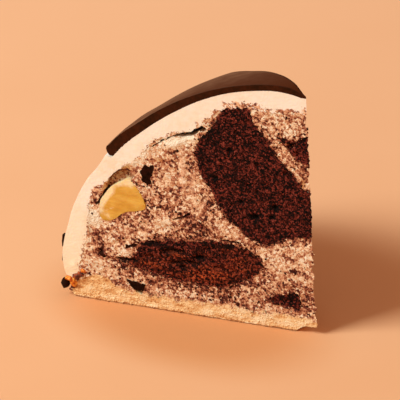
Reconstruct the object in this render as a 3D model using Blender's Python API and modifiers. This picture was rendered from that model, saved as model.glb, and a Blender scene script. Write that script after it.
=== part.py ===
"""Slice of a domed sour cream cake with chocolate sponge, fruit and a chocolate glaze.

Metres, +Z up. The cake is first modelled whole, as layers turned about the dome's axis, and then
two knives cut out a slice 36 degrees wide. The slice runs from its tip at +X to the rind at -X,
its two cut faces stand 18 degrees either side of the X axis, and it rests on z = 0. The origin is
the middle of its footprint.

Places inside the cake are given on a cut face as (u, v) in millimetres: u is measured outwards from
the dome's axis and v is the height above the table.
"""

import math
import random

import bmesh
import bpy
from mathutils import Matrix, Vector, noise

MM = 0.001

# Driving sizes of the whole cake, in millimetres.
AXIS_X = 49.65  # the dome's axis, from the middle of the slice's footprint
DOME_RADIUS = 99.6
DOME_HEIGHT = 100.8  # with the glaze
WIDEST_HEIGHT = 11.2  # height at which the dome is widest, and the centre of its polar angle
# Bumps of the dome's side: height in millimetres, polar angle and width in degrees.
BELLY = (1.0, 4.0, 6.0)
SHOULDER_DENT = (-1.5, 39.4, 27.8)
WAVINESS = 0.006  # share by which the hand-spread dome swells and sinks
WAVE_COUNT = 3.1  # how closely those waves follow each other
SAG = (0.010, 66.0, 9.0)  # the dome sinks towards the far cut: share, polar angle and width
SAG_SPREAD = 0.24  # the sag comes in over this share of the dome, across the slice
TIP_DROOP = 0.014  # share by which the thin tip bends down at the top
TIP_DROOP_REACH = (0.035, 0.06)  # shares of the dome: where the droop starts, and over how much it comes in
COAT_THICKNESS = 7.2  # of the cream, without the glaze
COAT_WAVE = 1.5  # the cream's inner side waves in and out by this
COAT_WAVE_LENGTH = 24.5  # degrees of polar angle
COAT_WAVE_START = 8.4
COAT_FOOT = ((99.5, 9.5), (98.2, 7.5))  # (radius, height) of the cream's lower edge
COAT_SEAT_RADII = (95.6, 93.4, 91.6)  # where the cream lies on the base
FILLING_RADII = (91.2, 88.5, 86.0, 83.5, 81.0, 78.0, 74.0, 60.0, 40.0, 20.0)  # where the filling does
BASE_THICKNESS = 6.8
BASE_RADIUS = 97.4
BASE_HUMP = 3.9  # the base swells by this near its rim
BASE_HUMP_RADIUS = 86.0
BASE_HUMP_WIDTH = 6.5
BASE_TOP_RADII = (0.0, 20.0, 40.0, 60.0, 74.0, 78.0, 81.0, 83.5, 86.0, 88.5, 91.2, 93.6, 95.6)
BASE_EDGE = ((0.0, 5.6), (0.3, 3.4), (-0.2, 1.6), (-1.8, 0.5))  # (beyond the base's radius, height)
BASE_BOTTOM_RADII = (92.5, 8.0, 6.8, 5.6, 4.2, 2.4, 0.0)
GLAZE_THICKNESS = (2.1, 3.4)  # sunk in the cream at the top, at the rim
GLAZE_THINNING = (45.0, 75.0)  # polar angles between which it gets thinner
GLAZE_RIM_ANGLE = 33.2
GLAZE_BEAD = (0.6, 38.5, 4.5)  # the glaze stands out of the dome near its rim
GLAZE_NOSE = ((1.5, 0.5), (0.6, -0.4), (0.2, -1.4), (0.05, -2.4))  # round its rim: degrees above it, lift
GLAZE_LEDGE = ((0.35, 3.1), (0.55, 1.8))  # of the cream under the rim: degrees below it, depth
CREAM_DIP = (-1.4, 29.5, 4.6)  # the cream is pressed in just below the rim
GLAZE_TIP_SHARE = 0.35  # share of its thickness left at the very tip
RIM_DRAWBACK = (3.4, 17.0, 12.0)  # lobes of the rim: their depth, spacing and reach in degrees
RIM_DEPTH = 5.0  # what lies this close to the dome's outside follows the rim's lobes
GAP = 0.3  # between pieces that touch
TURN_STEPS = 96  # facets in a full turn
FINE_TURN_STEPS = 144  # of the layers with a lobed rim

# The cut.
SLICE_ANGLE = 36.0
HALF_ANGLE = SLICE_ANGLE / 2
CUT_OFFSET = 0.65  # each cut passes the dome's axis by this
CRUMB_HEIGHT = 0.45  # relief left on the crumbly faces
CRUMB_SINK = 0.2  # the crumbly faces lie this far inside the clean cut
CRUMB_SPACING = 4.4
CRUMB_WAVES = (6.0, 2.8)  # lengths of the coarse and the fine relief
KNIFE_SIZE = (230.0, 114.0, 120.0)  # length, height and thickness of the block that each cut takes away
KNIFE_DROP = 6.0  # the blocks reach this far below the table
TIP_LIFT = 2.9  # the base's tip curls up off the table by this
TIP_LIFT_RADII = (2.4, 8.0)  # the curl is full inside the first radius and gone outside the second
REST_PATCH = [(39.0, 0.0), (-38.0, 27.0), (-38.0, -27.0)]  # (x, y) corners of what touches the table
EDGE_RISE = 5.0  # degrees by which the underside rises from that patch to the lower edges

THROUGH_LAYERS = (45.0, -0.4, 9.0)  # y beyond both faces, where the near outline ends, where the far one starts
SHALLOW_OVERHANG = 4.0  # what shows on one face is modelled out past it, and then cut off flush
SHALLOW_ROUNDING = ((0.0, 1.0), (0.45, 0.98), (0.85, 0.84), (1.0, 0.55))  # (share of its depth, of its size)

# Outlines (u, v) of what shows on the near cut face.
SPONGE_LARGE = [
    (42.0, 72.0), (35.0, 81.0), (31.0, 88.0), (22.0, 92.0), (18.5, 83.0), (14.5, 78.5), (11.0, 72.5),
    (5.5, 66.0), (1.0, 60.0), (-6.0, 56.0), (-6.0, 42.5), (7.5, 38.2), (15.0, 34.6), (20.5, 35.0),
    (26.6, 39.0), (32.0, 43.2), (35.2, 49.4), (38.8, 55.9), (42.2, 62.5),
]
SPONGE_LOWER = [
    (68.6, 26.2), (64.0, 29.0), (54.0, 30.6), (44.0, 32.0), (35.0, 32.8), (27.0, 32.4), (21.4, 30.0),
    (18.2, 26.2), (20.0, 21.7), (24.7, 18.2), (34.0, 14.0), (43.5, 13.0), (55.0, 13.5), (66.0, 15.8),
    (73.0, 17.0), (76.6, 18.3), (71.8, 20.5), (69.4, 23.6),
]
SPONGE_TIP_TOP = [
    (9.6, 78.8), (5.2, 79.2), (3.0, 78.4), (0.8, 80.2), (-6.0, 81.0), (-6.0, 69.0), (1.0, 70.2),
    (4.8, 73.2), (7.4, 76.0),
]
SPONGE_TIP_LOW = [
    (17.3, 11.8), (13.2, 14.4), (8.8, 15.4), (4.8, 16.0), (3.6, 13.0), (4.2, 9.6), (7.0, 9.6), (12.0, 10.4),
]
FRUIT = [
    (83.0, 42.1), (83.5, 36.4), (81.0, 34.5), (77.4, 35.8), (73.0, 39.2), (65.2, 41.4), (65.0, 45.0),
    (66.6, 48.4), (70.2, 53.2), (74.2, 51.5), (78.1, 49.0), (80.9, 45.6),
]
CHIP_TALL = [(64.1, 60.4), (60.5, 59.5), (61.5, 55.9), (62.4, 52.0), (64.2, 51.8), (66.2, 54.4)]
CHIP_LOW = [(74.6, 11.6), (73.4, 8.4), (72.0, 5.5), (68.0, 5.5), (67.0, 9.2), (69.5, 11.3)]
CHIP_LEFT = [(76.2, 23.4), (73.4, 24.2), (70.6, 26.2), (71.4, 27.6), (74.6, 26.6)]
CHIP_RIM = [(86.4, 21.2), (84.2, 22.4), (81.2, 19.6), (82.0, 18.4), (84.6, 19.6)]
AIR_POCKET = [
    (82.6, 44.8), (81.4, 48.0), (79.0, 51.6), (77.0, 55.2), (73.6, 56.8), (70.4, 56.0), (70.8, 54.2),
    (74.5, 52.4), (78.6, 49.8), (81.4, 46.2),
]

# Outlines (u, v) of what shows on the far cut face alone.
FAR_SPONGE = [
    (82.5, 31.5), (80.0, 40.0), (73.5, 46.5), (66.0, 47.5), (62.0, 42.0), (63.5, 35.0), (70.0, 30.5),
    (77.5, 28.0),
]
FAR_FRUIT = [
    (62.5, 66.5), (57.0, 71.0), (50.5, 70.5), (47.5, 64.0), (51.0, 58.5), (57.5, 57.5), (61.5, 60.0),
]
FAR_CHIP_HIGH = [(71.0, 52.5), (67.5, 56.0), (64.5, 54.0), (66.5, 50.8), (69.5, 50.3)]
FAR_CHIP_MID = [(52.5, 45.5), (49.0, 49.5), (45.8, 48.0), (47.5, 43.5), (50.5, 42.5)]
FAR_CHIP_LOW = [(83.5, 19.5), (79.5, 21.5), (77.5, 17.5), (80.0, 15.2), (83.0, 16.2)]

# Loose toppings on the rind: chocolate flakes pressed into the cream, and crumbs on the base's rim.
# A flake is (turn about the axis, height, (length, width, thickness), roll, tilt).
EDGE_FLAKES = [
    (17.1, 22.4, (4.6, 2.6, 2.0), 4.0, 3.0),
    (17.2, 15.6, (3.4, 2.2, 1.3), -6.0, -4.0),
    (15.4, 18.6, (5.6, 2.4, 1.5), 38.0, 6.0),
]
FLAKE_COUNT = 40
FLAKE_SIZE = ((2.6, 6.8), (1.5, 3.0), (0.9, 1.5))  # ranges of length, width and thickness
FLAKE_TAPER = 0.72  # width of a flake's upper end to its lower one
FLAKE_BAND = (12.5, 30.0)  # heights between which the flakes lie
FLAKE_MARGIN = (2.0, 3.0)  # degrees that they stay away from the far cut and the near one
FLAKE_SEED = 11
CRUMB_COUNT = 13
CRUMB_RADIUS = (0.9, 2.0)
CRUMB_BAND = (2.4, 4.2)  # heights between which the crumbs lie
CRUMB_MARGIN = 1.2  # degrees from the near cut to the first crumb
CRUMB_SEED = 5

CREAM = (0.93, 0.80, 0.62)
FILLING_TAN = (0.56, 0.34, 0.23)
SPONGE_BROWN = (0.075, 0.022, 0.014)
BASE_TAN = (0.80, 0.55, 0.30)
CHOCOLATE = (0.035, 0.014, 0.007)
FRUIT_YELLOW = (0.86, 0.60, 0.20)


# ---------------------------------------------------------------- the shape of the dome


def bell(value, centre, width):
    """A smooth bump of height 1 round centre."""
    return math.exp(-(((value - centre) / width) ** 2))


def clamped(value):
    return min(1.0, max(0.0, value))


def smooth_step(value):
    """0 up to 0, 1 from 1 on, and a soft rise between."""
    share = clamped(value)
    return share * share * (3 - 2 * share)


def bump(angle, shape):
    """A bump of the dome's side at a polar angle, from its (height, angle, width)."""
    height, centre, width = shape
    return height * bell(angle, centre, width)


def dome_reach(angle):
    """Distance from the dome's centre to its outside, glaze and cream alike, at a polar angle in degrees."""
    rise = DOME_HEIGHT - WIDEST_HEIGHT
    a = math.radians(angle)
    ellipse = 1 / math.hypot(math.cos(a) / DOME_RADIUS, math.sin(a) / rise)
    return ellipse + bump(angle, BELLY) + bump(angle, SHOULDER_DENT)


def polar(angle, reach):
    """(radius, height) of the point at that polar angle and distance from the dome's centre."""
    a = math.radians(angle)
    return reach * math.cos(a), WIDEST_HEIGHT + reach * math.sin(a)


def glaze_depth(angle):
    """Depth of the glaze's underside below the dome's outside."""
    thin, thick = GLAZE_THICKNESS
    first, last = GLAZE_THINNING
    return thick + (thin - thick) * smooth_step((angle - first) / (last - first))


def coat_depth(angle):
    """Depth of the cream coat's inner side below the dome's outside."""
    wave = COAT_WAVE * math.cos(2 * math.pi * (angle - COAT_WAVE_START) / COAT_WAVE_LENGTH)
    under_glaze = smooth_step((angle - GLAZE_RIM_ANGLE + 2.2) / 12.0)
    return COAT_THICKNESS + wave + glaze_depth(angle) * under_glaze


def base_top(radius):
    """Height of the sponge base's upper side."""
    return BASE_THICKNESS + BASE_HUMP * bell(radius, BASE_HUMP_RADIUS, BASE_HUMP_WIDTH)


def base_bottom(radius):
    """Height of the sponge base's underside, which curls up at the tip."""
    full, gone = TIP_LIFT_RADII
    return TIP_LIFT * smooth_step((gone - radius) / (gone - full))


def unevenness(direction):
    """Share by which the dome stands out or in, in that direction from its centre. It fades out low down."""
    share, angle, width = SAG
    polar_angle = math.degrees(math.asin(max(-1.0, min(1.0, direction.z))))
    sag = share * bell(polar_angle, angle, width) * clamped(0.5 + direction.y / SAG_SPREAD)
    droop_start, droop_width = TIP_DROOP_REACH
    droop = TIP_DROOP * clamped((direction.x + droop_start) / droop_width) ** 2
    waves = WAVINESS * noise.noise(direction * WAVE_COUNT + Vector((4.0, 1.0, 7.0)))
    return clamped(direction.z * 2.5) * (waves - sag - droop)


# ---------------------------------------------------------------- Blender helpers


def clear_scene():
    for obj in list(bpy.data.objects):
        bpy.data.objects.remove(obj, do_unlink=True)


def collection(name):
    made = bpy.data.collections.new(name)
    bpy.context.scene.collection.children.link(made)
    return made


def material(name, colour, roughness):
    made = bpy.data.materials.new(name)
    made.use_nodes = True
    shader = made.node_tree.nodes["Principled BSDF"]
    shader.inputs["Base Color"].default_value = (*colour, 1.0)
    shader.inputs["Roughness"].default_value = roughness
    shader.inputs["Metallic"].default_value = 0.0
    return made


def mesh_object(name, mesh, group):
    obj = bpy.data.objects.new(name, mesh)
    group.objects.link(obj)
    return obj


def bmesh_object(name, bm, group):
    mesh = bpy.data.meshes.new(name)
    bm.to_mesh(mesh)
    bm.free()
    return mesh_object(name, mesh, group)


def as_cutter(obj):
    obj.hide_render = True
    obj.display_type = "WIRE"
    return obj


def apply_modifiers(obj):
    """Replaces the object's mesh by its evaluated one."""
    graph = bpy.context.evaluated_depsgraph_get()
    mesh = bpy.data.meshes.new_from_object(obj.evaluated_get(graph))
    obj.modifiers.clear()
    obj.data = mesh


def boolean(obj, other, operation):
    """The manifold solver: the exact one leaves open edges along the slice's thin, crumbly tip."""
    cut = obj.modifiers.new(operation.title(), "BOOLEAN")
    cut.operation = operation
    cut.solver = "MANIFOLD"
    cut.object = other
    apply_modifiers(obj)


def copy_of(obj, name, group):
    return mesh_object(name, obj.data.copy(), group)


# ---------------------------------------------------------------- turned layers


def turned(name, profile, group, steps=TURN_STEPS):
    """A closed (radius, height) profile in millimetres, turned a full circle about the dome's axis."""
    bm = bmesh.new()
    points = [bm.verts.new((radius * MM, 0, height * MM)) for radius, height in profile]
    for first, second in zip(points, points[1:]):
        bm.edges.new((first, second))
    if profile[-1][0] > 0:
        bm.edges.new((points[-1], points[0]))
    obj = bmesh_object(name, bm, group)
    screw = obj.modifiers.new("Turn", "SCREW")
    screw.steps = screw.render_steps = steps
    screw.use_merge_vertices = True
    screw.merge_threshold = 0.00001
    apply_modifiers(obj)
    bm = bmesh.new()
    bm.from_mesh(obj.data)
    bmesh.ops.remove_doubles(bm, verts=bm.verts, dist=0.00001)
    bmesh.ops.recalc_face_normals(bm, faces=bm.faces)
    bm.to_mesh(obj.data)
    bm.free()
    return obj


def settle(obj):
    """Gives a turned layer the dome's unevenness and moves it to the slice's place."""
    centre = Vector((0, 0, WIDEST_HEIGHT * MM))
    for vert in obj.data.vertices:
        out = vert.co - centre
        vert.co = centre + out * (1 + unevenness(out.normalized())) + Vector((AXIS_X * MM, 0, 0))


def angles(first, last, steps):
    return [first + (last - first) * i / steps for i in range(steps + 1)]


def coat_profile():
    """The cream's outer side from the top down, with a ledge that the glaze lies in, its foot on the
    base's shoulder, and its inner side."""
    rim = GLAZE_RIM_ANGLE
    bed = [polar(a, dome_reach(a) - glaze_depth(a) - GAP) for a in angles(90, rim + 0.3, 15)]
    ledge = [polar(rim - below, dome_reach(rim) - depth) for below, depth in GLAZE_LEDGE]
    side = [polar(a, dome_reach(a) + bump(a, CREAM_DIP)) for a in angles(rim - 1.0, 0, 13)]
    under = [(r, base_top(r) + GAP) for r in COAT_SEAT_RADII]
    inner = [polar(a, dome_reach(a) - coat_depth(a)) for a in angles(2, 90, 30)]
    return [(max(0.0, r), h) for r, h in bed + ledge + side + list(COAT_FOOT) + under + inner]


def filling_profile():
    """The heap of cream and crumb inside the coat, from its top down to the base."""
    outer = [polar(a, dome_reach(a) - coat_depth(a) - GAP) for a in angles(90, 2, 30)]
    bottom = [(r, base_top(r) + GAP) for r in (*FILLING_RADII, 0.0)]
    return [(max(0.0, r), h) for r, h in outer] + bottom


def base_profile():
    """The pale sponge round that the cake stands on, with a soft lower edge."""
    top = [(r, base_top(r)) for r in BASE_TOP_RADII]
    edge = [(BASE_RADIUS + beyond, height) for beyond, height in BASE_EDGE]
    bottom = [(r, base_bottom(r)) for r in BASE_BOTTOM_RADII]
    return top + edge + bottom


def glaze_profile():
    """The poured chocolate from the top down to its round bead, and back along its bed in the cream."""
    rim = GLAZE_RIM_ANGLE
    outer = [polar(a, dome_reach(a) + bump(a, GLAZE_BEAD)) for a in angles(90, rim + 3.2, 16)]
    nose = [polar(rim + above, dome_reach(rim) + lift) for above, lift in GLAZE_NOSE]
    inner = [polar(a, dome_reach(a) - glaze_depth(a)) for a in angles(rim + 0.5, 90, 14)]
    return [(max(0.0, r), h) for r, h in outer + nose + inner]


def draw_back_rim(obj):
    """Draws the glaze's rim, and the ledge that it lies on, back up the dome between its lobes. The near
    cut goes through the lowest point of one."""
    depth, spacing, reach = RIM_DRAWBACK
    for vert in obj.data.vertices:
        x, y, height = (value / MM for value in vert.co)
        radius = math.hypot(x, y)
        angle = math.degrees(math.atan2(height - WIDEST_HEIGHT, radius))
        lift = math.hypot(radius, height - WIDEST_HEIGHT) - dome_reach(angle)
        if lift < -RIM_DEPTH or radius < 1.0:
            continue
        turn = math.degrees(math.atan2(-y, -x))
        lobe = (1 - math.cos(2 * math.pi * (HALF_ANGLE - turn) / spacing)) / 2
        raised = angle + depth * lobe * bell(angle, GLAZE_RIM_ANGLE, reach)
        new_radius, new_height = polar(raised, dome_reach(raised) + lift)
        share = new_radius / radius
        vert.co = Vector((x * share, y * share, new_height)) * MM


def thin_tip(glaze):
    """Thins the glaze towards the slice's tip."""
    for vert in glaze.data.vertices:
        x, y, height = (value / MM for value in vert.co)
        angle = math.degrees(math.atan2(height - WIDEST_HEIGHT, math.hypot(x, y)))
        lift = math.hypot(x, y, height - WIDEST_HEIGHT) - dome_reach(angle)
        if angle > 60:
            vert.co.z -= (1 - GLAZE_TIP_SHARE) * (lift + glaze_depth(angle)) * clamped((x + 4.0) / 6.0) * MM


# ---------------------------------------------------------------- the two cuts


def face_point(u, v, side, out=0.0):
    """The point (u, v) of a cut face: side is 1 for the near face and -1 for the far one.
    out moves it off the face, away from the slice."""
    turn = math.radians(HALF_ANGLE) * side
    along = Vector((-math.cos(turn), -math.sin(turn), 0))
    away = Vector((math.sin(turn), -math.cos(turn), 0)) * side
    return (Vector((AXIS_X, 0, v)) + along * u + away * (CUT_OFFSET + out)) * MM


def knife(name, side, crumbly, group):
    """A block that takes away all of the cake beyond one cut face. A crumbly one leaves relief."""
    length, height, thickness = KNIFE_SIZE
    spacing = CRUMB_SPACING if crumbly else 0.5 * height
    columns, rows = round(length / spacing), round(height / spacing)
    bm = bmesh.new()
    bmesh.ops.create_grid(bm, x_segments=columns, y_segments=rows, size=0.5)
    for vert in bm.verts:
        u = -vert.co.x * length
        v = (vert.co.y + 0.5) * height - KNIFE_DROP
        relief = 0.0
        if crumbly:
            place = Vector((u, v, 40.0 * side))
            coarse, fine = (noise.noise(place / wave) for wave in CRUMB_WAVES)
            relief = CRUMB_HEIGHT * (coarse + 0.6 * fine) - CRUMB_SINK
        vert.co = face_point(u, v, side, relief)
    grown = bmesh.ops.extrude_face_region(bm, geom=bm.faces[:])["geom"]
    block = (face_point(0, 0, side, thickness) - face_point(0, 0, side)).to_3d()
    bmesh.ops.translate(bm, vec=block, verts=[g for g in grown if isinstance(g, bmesh.types.BMVert)])
    bmesh.ops.recalc_face_normals(bm, faces=bm.faces)
    return as_cutter(bmesh_object(name, bm, group))


def cut_slice(obj, knives):
    for blade in knives:
        boolean(obj, blade, "DIFFERENCE")


def soften_lower_edge(base, group):
    """Trims the base's underside outside of the flat patch that it rests on, with one block a side."""
    corners = [Vector((x, y, 0)) * MM for x, y in REST_PATCH]
    size = KNIFE_SIZE[0] * MM
    for i, corner in enumerate(corners):
        out = (corners[i - 1] - corner).normalized().cross(Vector((0, 0, 1)))
        if out.dot(corner) < 0:
            out.negate()
        rise = math.radians(EDGE_RISE)
        up_slope = out * math.cos(rise) + Vector((0, 0, math.sin(rise)))
        off_slope = Vector((0, 0, math.cos(rise))) - out * math.sin(rise)
        along = up_slope.cross(off_slope)
        bm = bmesh.new()
        bmesh.ops.create_cube(bm, size=size)
        for vert in bm.verts:
            side, outwards, upwards = vert.co
            vert.co = corner + along * side + up_slope * (outwards + size / 2) + off_slope * (upwards - size / 2)
        boolean(base, as_cutter(bmesh_object(f"underside_block_{i}", bm, group)), "DIFFERENCE")


# ---------------------------------------------------------------- what is embedded in the filling


def smooth_outline(corners, spacing=4.0, grow=0.0):
    """A closed curve through the corners, as points about spacing apart, moved outwards by grow."""
    count = len(corners)
    points = []
    for i in range(count):
        p0, p1, p2, p3 = (Vector(corners[(i + k) % count]) for k in (-1, 0, 1, 2))
        steps = max(1, round((p2 - p1).length / spacing))
        for step in range(steps):
            t = step / steps
            points.append(
                0.5 * (2 * p1 + (p2 - p0) * t + (2 * p0 - 5 * p1 + 4 * p2 - p3) * t * t
                       + (3 * p1 - p0 - 3 * p2 + p3) * t ** 3)
            )
    area = sum(a.x * b.y - b.x * a.y for a, b in zip(points, points[1:] + points[:1]))
    turn = 1 if area > 0 else -1
    moved = []
    for i, point in enumerate(points):
        run = (points[(i + 1) % len(points)] - points[i - 1]).normalized()
        moved.append(point + Vector((run.y, -run.x)) * grow * turn)
    return moved


def changed(outline, scale=1.0, turn=0.0, shift=(0.0, 0.0)):
    """The outline scaled and turned about its middle, then shifted."""
    middle = sum(outline, Vector((0, 0))) / len(outline)
    spin = Matrix.Rotation(math.radians(turn), 2)
    return [middle + Vector(shift) + spin @ ((point - middle) * scale) for point in outline]


def loft(name, rings, group):
    """A closed skin over rings of equally many points, capped at both ends."""
    bm = bmesh.new()
    rows = [[bm.verts.new(point) for point in ring] for ring in rings]
    count = len(rows[0])
    for low, high in zip(rows, rows[1:]):
        for i in range(count):
            j = (i + 1) % count
            bm.faces.new((low[i], low[j], high[j], high[i]))
    bm.faces.new(rows[0])
    bm.faces.new(rows[-1])
    bmesh.ops.recalc_face_normals(bm, faces=bm.faces)
    bmesh.ops.triangulate(bm, faces=bm.faces)
    return bmesh_object(name, bm, group)


def through_piece(corners, far, grow):
    """Rings of a piece that runs across the slice, from beyond the near face to beyond the far one.
    Its outline is the one seen on the near face up to the slice's middle; far says how it then changes."""
    lean = math.cos(math.radians(HALF_ANGLE))
    near_outline = smooth_outline(corners, grow=grow)
    far_outline = changed(near_outline, **far)
    beyond, middle, far_start = THROUGH_LAYERS
    layers = ((-beyond, near_outline), (middle, near_outline), (far_start, far_outline), (beyond, far_outline))
    return [[Vector((AXIS_X - u * lean, y, v)) * MM for u, v in outline] for y, outline in layers]


def shallow_piece(corners, side, depth, grow):
    """Rings of a piece that shows on one face and ends inside, rounded, depth behind it."""
    outline = smooth_outline(corners, spacing=3.2, grow=grow)
    layers = [(-SHALLOW_OVERHANG, 1.0)]
    layers += [(share * (depth + grow), size) for share, size in SHALLOW_ROUNDING]
    return [
        [face_point(*point, side, -below) for point in changed(outline, scale=size)] for below, size in layers
    ]


def embed(name, rings_for, core, holder, finish, group, tools):
    """Makes one embedded piece, cut like the core, and its pocket in the holder.
    rings_for gives its rings, grown by a distance in millimetres."""
    piece = loft(name, rings_for(0.0), group)
    boolean(piece, core, "INTERSECT")
    set_material(piece, finish)
    pocket = as_cutter(loft(name + "_pocket", rings_for(GAP), tools))
    boolean(holder, pocket, "DIFFERENCE")


# ---------------------------------------------------------------- toppings on the rind


def rind_point(turn, height, out):
    """A point out millimetres off the cream, at a turn about the axis in degrees and a height."""
    angle = 0.0
    for _ in range(6):
        angle = math.degrees(math.asin((height - WIDEST_HEIGHT) / dome_reach(angle)))
    radius, level = polar(angle, dome_reach(angle) + out)
    a = math.radians(turn)
    return Vector((AXIS_X - radius * math.cos(a), -radius * math.sin(a), level)) * MM, angle


def flake(name, turn, height, size, roll, tilt, group):
    """One chocolate flake: a thin bent chip lying on the cream and sunk a little into it."""
    length, width, thickness = (value * MM for value in size)
    bm = bmesh.new()
    bmesh.ops.create_cube(bm, size=1.0)
    place, angle = rind_point(turn, height, 0.1 * thickness / MM)
    spin = (
        Matrix.Rotation(math.radians(turn + 180), 4, "Z")
        @ Matrix.Rotation(math.radians(-angle), 4, "Y")
        @ Matrix.Rotation(math.radians(roll), 4, "X")
        @ Matrix.Rotation(math.radians(tilt), 4, "Y")
    )
    for vert in bm.verts:
        narrow = FLAKE_TAPER if vert.co.z > 0 else 1.0
        vert.co = Vector((vert.co.x * thickness, vert.co.y * width * narrow, vert.co.z * length))
    bmesh.ops.transform(bm, matrix=Matrix.Translation(place) @ spin, verts=bm.verts)
    return bmesh_object(name, bm, group)


def flake_places():
    """The flakes beside the near cut, then the rest: even steps round the rind, each shaken a little."""
    yield from EDGE_FLAKES
    draw = random.Random(FLAKE_SEED)
    low, high = FLAKE_BAND
    from_far, from_near = FLAKE_MARGIN
    golden = (math.sqrt(5) - 1) / 2
    for i in range(FLAKE_COUNT):
        turn = from_far - HALF_ANGLE + (SLICE_ANGLE - from_far - from_near) * ((i * golden) % 1.0)
        share = (i + 0.5) / FLAKE_COUNT
        height = low + (high - low) * share ** 1.6 + draw.uniform(-1.0, 1.0)
        size = [draw.uniform(*span) for span in FLAKE_SIZE]
        yield turn, height, size, draw.uniform(-90, 90), draw.uniform(-14, 14)


def fuse(obj, parts):
    """Joins a collection of small pieces to the object in one union, then removes them."""
    union = obj.modifiers.new("Fuse", "BOOLEAN")
    union.operation = "UNION"
    union.solver = "MANIFOLD"
    union.operand_type = "COLLECTION"
    union.collection = parts
    apply_modifiers(obj)
    for part in list(parts.objects):
        bpy.data.objects.remove(part, do_unlink=True)


def add_flakes(coat):
    flakes = collection("flakes")
    for i, (turn, height, size, roll, tilt) in enumerate(flake_places()):
        flake(f"flake_{i}", turn, height, size, roll, tilt, flakes)
    fuse(coat, flakes)


def add_rim_crumbs(base):
    """Toasted crumbs and bits of chocolate on the outer edge of the sponge base."""
    crumbs = collection("crumbs")
    draw = random.Random(CRUMB_SEED)
    step = (SLICE_ANGLE - CRUMB_MARGIN) / CRUMB_COUNT
    for i in range(CRUMB_COUNT):
        turn = math.radians(HALF_ANGLE - CRUMB_MARGIN - step * (i + draw.uniform(0.0, 0.5)))
        size = CRUMB_RADIUS[1] if i == 0 else draw.uniform(*CRUMB_RADIUS)
        radius = BASE_RADIUS + 0.5 * size
        place = Vector((AXIS_X - radius * math.cos(turn), -radius * math.sin(turn), draw.uniform(*CRUMB_BAND)))
        bm = bmesh.new()
        bmesh.ops.create_icosphere(bm, subdivisions=1, radius=size * MM)
        for vert in bm.verts:
            vert.co *= 1 + 0.25 * noise.noise(vert.co / MM + Vector((i, 0, 0)))
        bmesh.ops.translate(bm, vec=place * MM, verts=bm.verts)
        bmesh_object(f"crumb_{i}", bm, crumbs)
    fuse(base, crumbs)


# ---------------------------------------------------------------- the cake


def finish_mesh(obj):
    """Splits the faces into triangles and keeps the turned skin smooth between its sharp edges."""
    bm = bmesh.new()
    bm.from_mesh(obj.data)
    bmesh.ops.dissolve_verts(bm, verts=[vert for vert in bm.verts if len(vert.link_edges) == 2])
    bmesh.ops.triangulate(bm, faces=bm.faces)
    bm.to_mesh(obj.data)
    bm.free()
    obj.data.shade_smooth()
    obj.data.set_sharp_from_angle(angle=math.radians(35))


def set_material(obj, finish):
    obj.data.materials.clear()
    obj.data.materials.append(finish)


def build():
    clear_scene()
    cake = collection("sour_cream_cake_slice")
    tools = collection("cutters")

    cream = material("cream", CREAM, 0.55)
    filling_mix = material("filling", FILLING_TAN, 0.75)
    sponge = material("chocolate_sponge", SPONGE_BROWN, 0.9)
    pale_sponge = material("pale_sponge", BASE_TAN, 0.85)
    chocolate = material("chocolate", CHOCOLATE, 0.3)
    fruit = material("fruit", FRUIT_YELLOW, 0.35)

    clean_knives = [knife(f"clean_knife_{side}", side, False, tools) for side in (1, -1)]
    crumbly_knives = [knife(f"crumbly_knife_{side}", side, True, tools) for side in (1, -1)]

    coat = turned("cream_coat", coat_profile(), cake, FINE_TURN_STEPS)
    draw_back_rim(coat)
    settle(coat)
    cut_slice(coat, clean_knives)
    set_material(coat, cream)

    glaze = turned("chocolate_glaze", glaze_profile(), cake, FINE_TURN_STEPS)
    draw_back_rim(glaze)
    thin_tip(glaze)
    settle(glaze)
    cut_slice(glaze, clean_knives)
    set_material(glaze, chocolate)

    base = turned("sponge_base", base_profile(), cake)
    settle(base)
    cut_slice(base, crumbly_knives)
    soften_lower_edge(base, tools)
    set_material(base, pale_sponge)

    filling = turned("cream_filling", filling_profile(), cake)
    settle(filling)
    cut_slice(filling, crumbly_knives)
    set_material(filling, filling_mix)
    core = as_cutter(copy_of(filling, "core", tools))

    through = {
        "sponge_large": (SPONGE_LARGE, dict(scale=0.84, turn=-9, shift=(5.0, -5.0))),
        "sponge_lower": (SPONGE_LOWER, dict(scale=0.82, turn=7, shift=(-8.0, 1.5))),
        "sponge_tip_top": (SPONGE_TIP_TOP, dict(scale=0.9, turn=4, shift=(1.0, 0.5))),
        "sponge_tip_low": (SPONGE_TIP_LOW, dict(scale=0.95, turn=-6, shift=(3.0, 1.0))),
    }
    for name, (corners, far) in through.items():
        embed(
            name, lambda grow, c=corners, f=far: through_piece(c, f, grow),
            core, filling, sponge, cake, tools,
        )

    shallow = {
        "sponge_far": (FAR_SPONGE, -1, 15.0, sponge),
        "fruit_near": (FRUIT, 1, 14.0, fruit),
        "fruit_far": (FAR_FRUIT, -1, 12.0, fruit),
        "chip_tall": (CHIP_TALL, 1, 6.0, chocolate),
        "chip_left": (CHIP_LEFT, 1, 5.0, chocolate),
        "chip_rim": (CHIP_RIM, 1, 5.0, chocolate),
        "chip_low": (CHIP_LOW, 1, 5.0, chocolate),
        "chip_far_high": (FAR_CHIP_HIGH, -1, 6.0, chocolate),
        "chip_far_mid": (FAR_CHIP_MID, -1, 6.0, chocolate),
        "chip_far_low": (FAR_CHIP_LOW, -1, 5.0, chocolate),
    }
    for name, (corners, side, depth, finish) in shallow.items():
        embed(
            name, lambda grow, c=corners, s=side, d=depth: shallow_piece(c, s, d, grow),
            core, filling, finish, cake, tools,
        )

    pocket = as_cutter(loft("air_pocket", shallow_piece(AIR_POCKET, 1, 4.5, 0.0), tools))
    boolean(filling, pocket, "DIFFERENCE")

    add_flakes(coat)
    add_rim_crumbs(base)
    for obj in cake.objects:
        finish_mesh(obj)


build()
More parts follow.
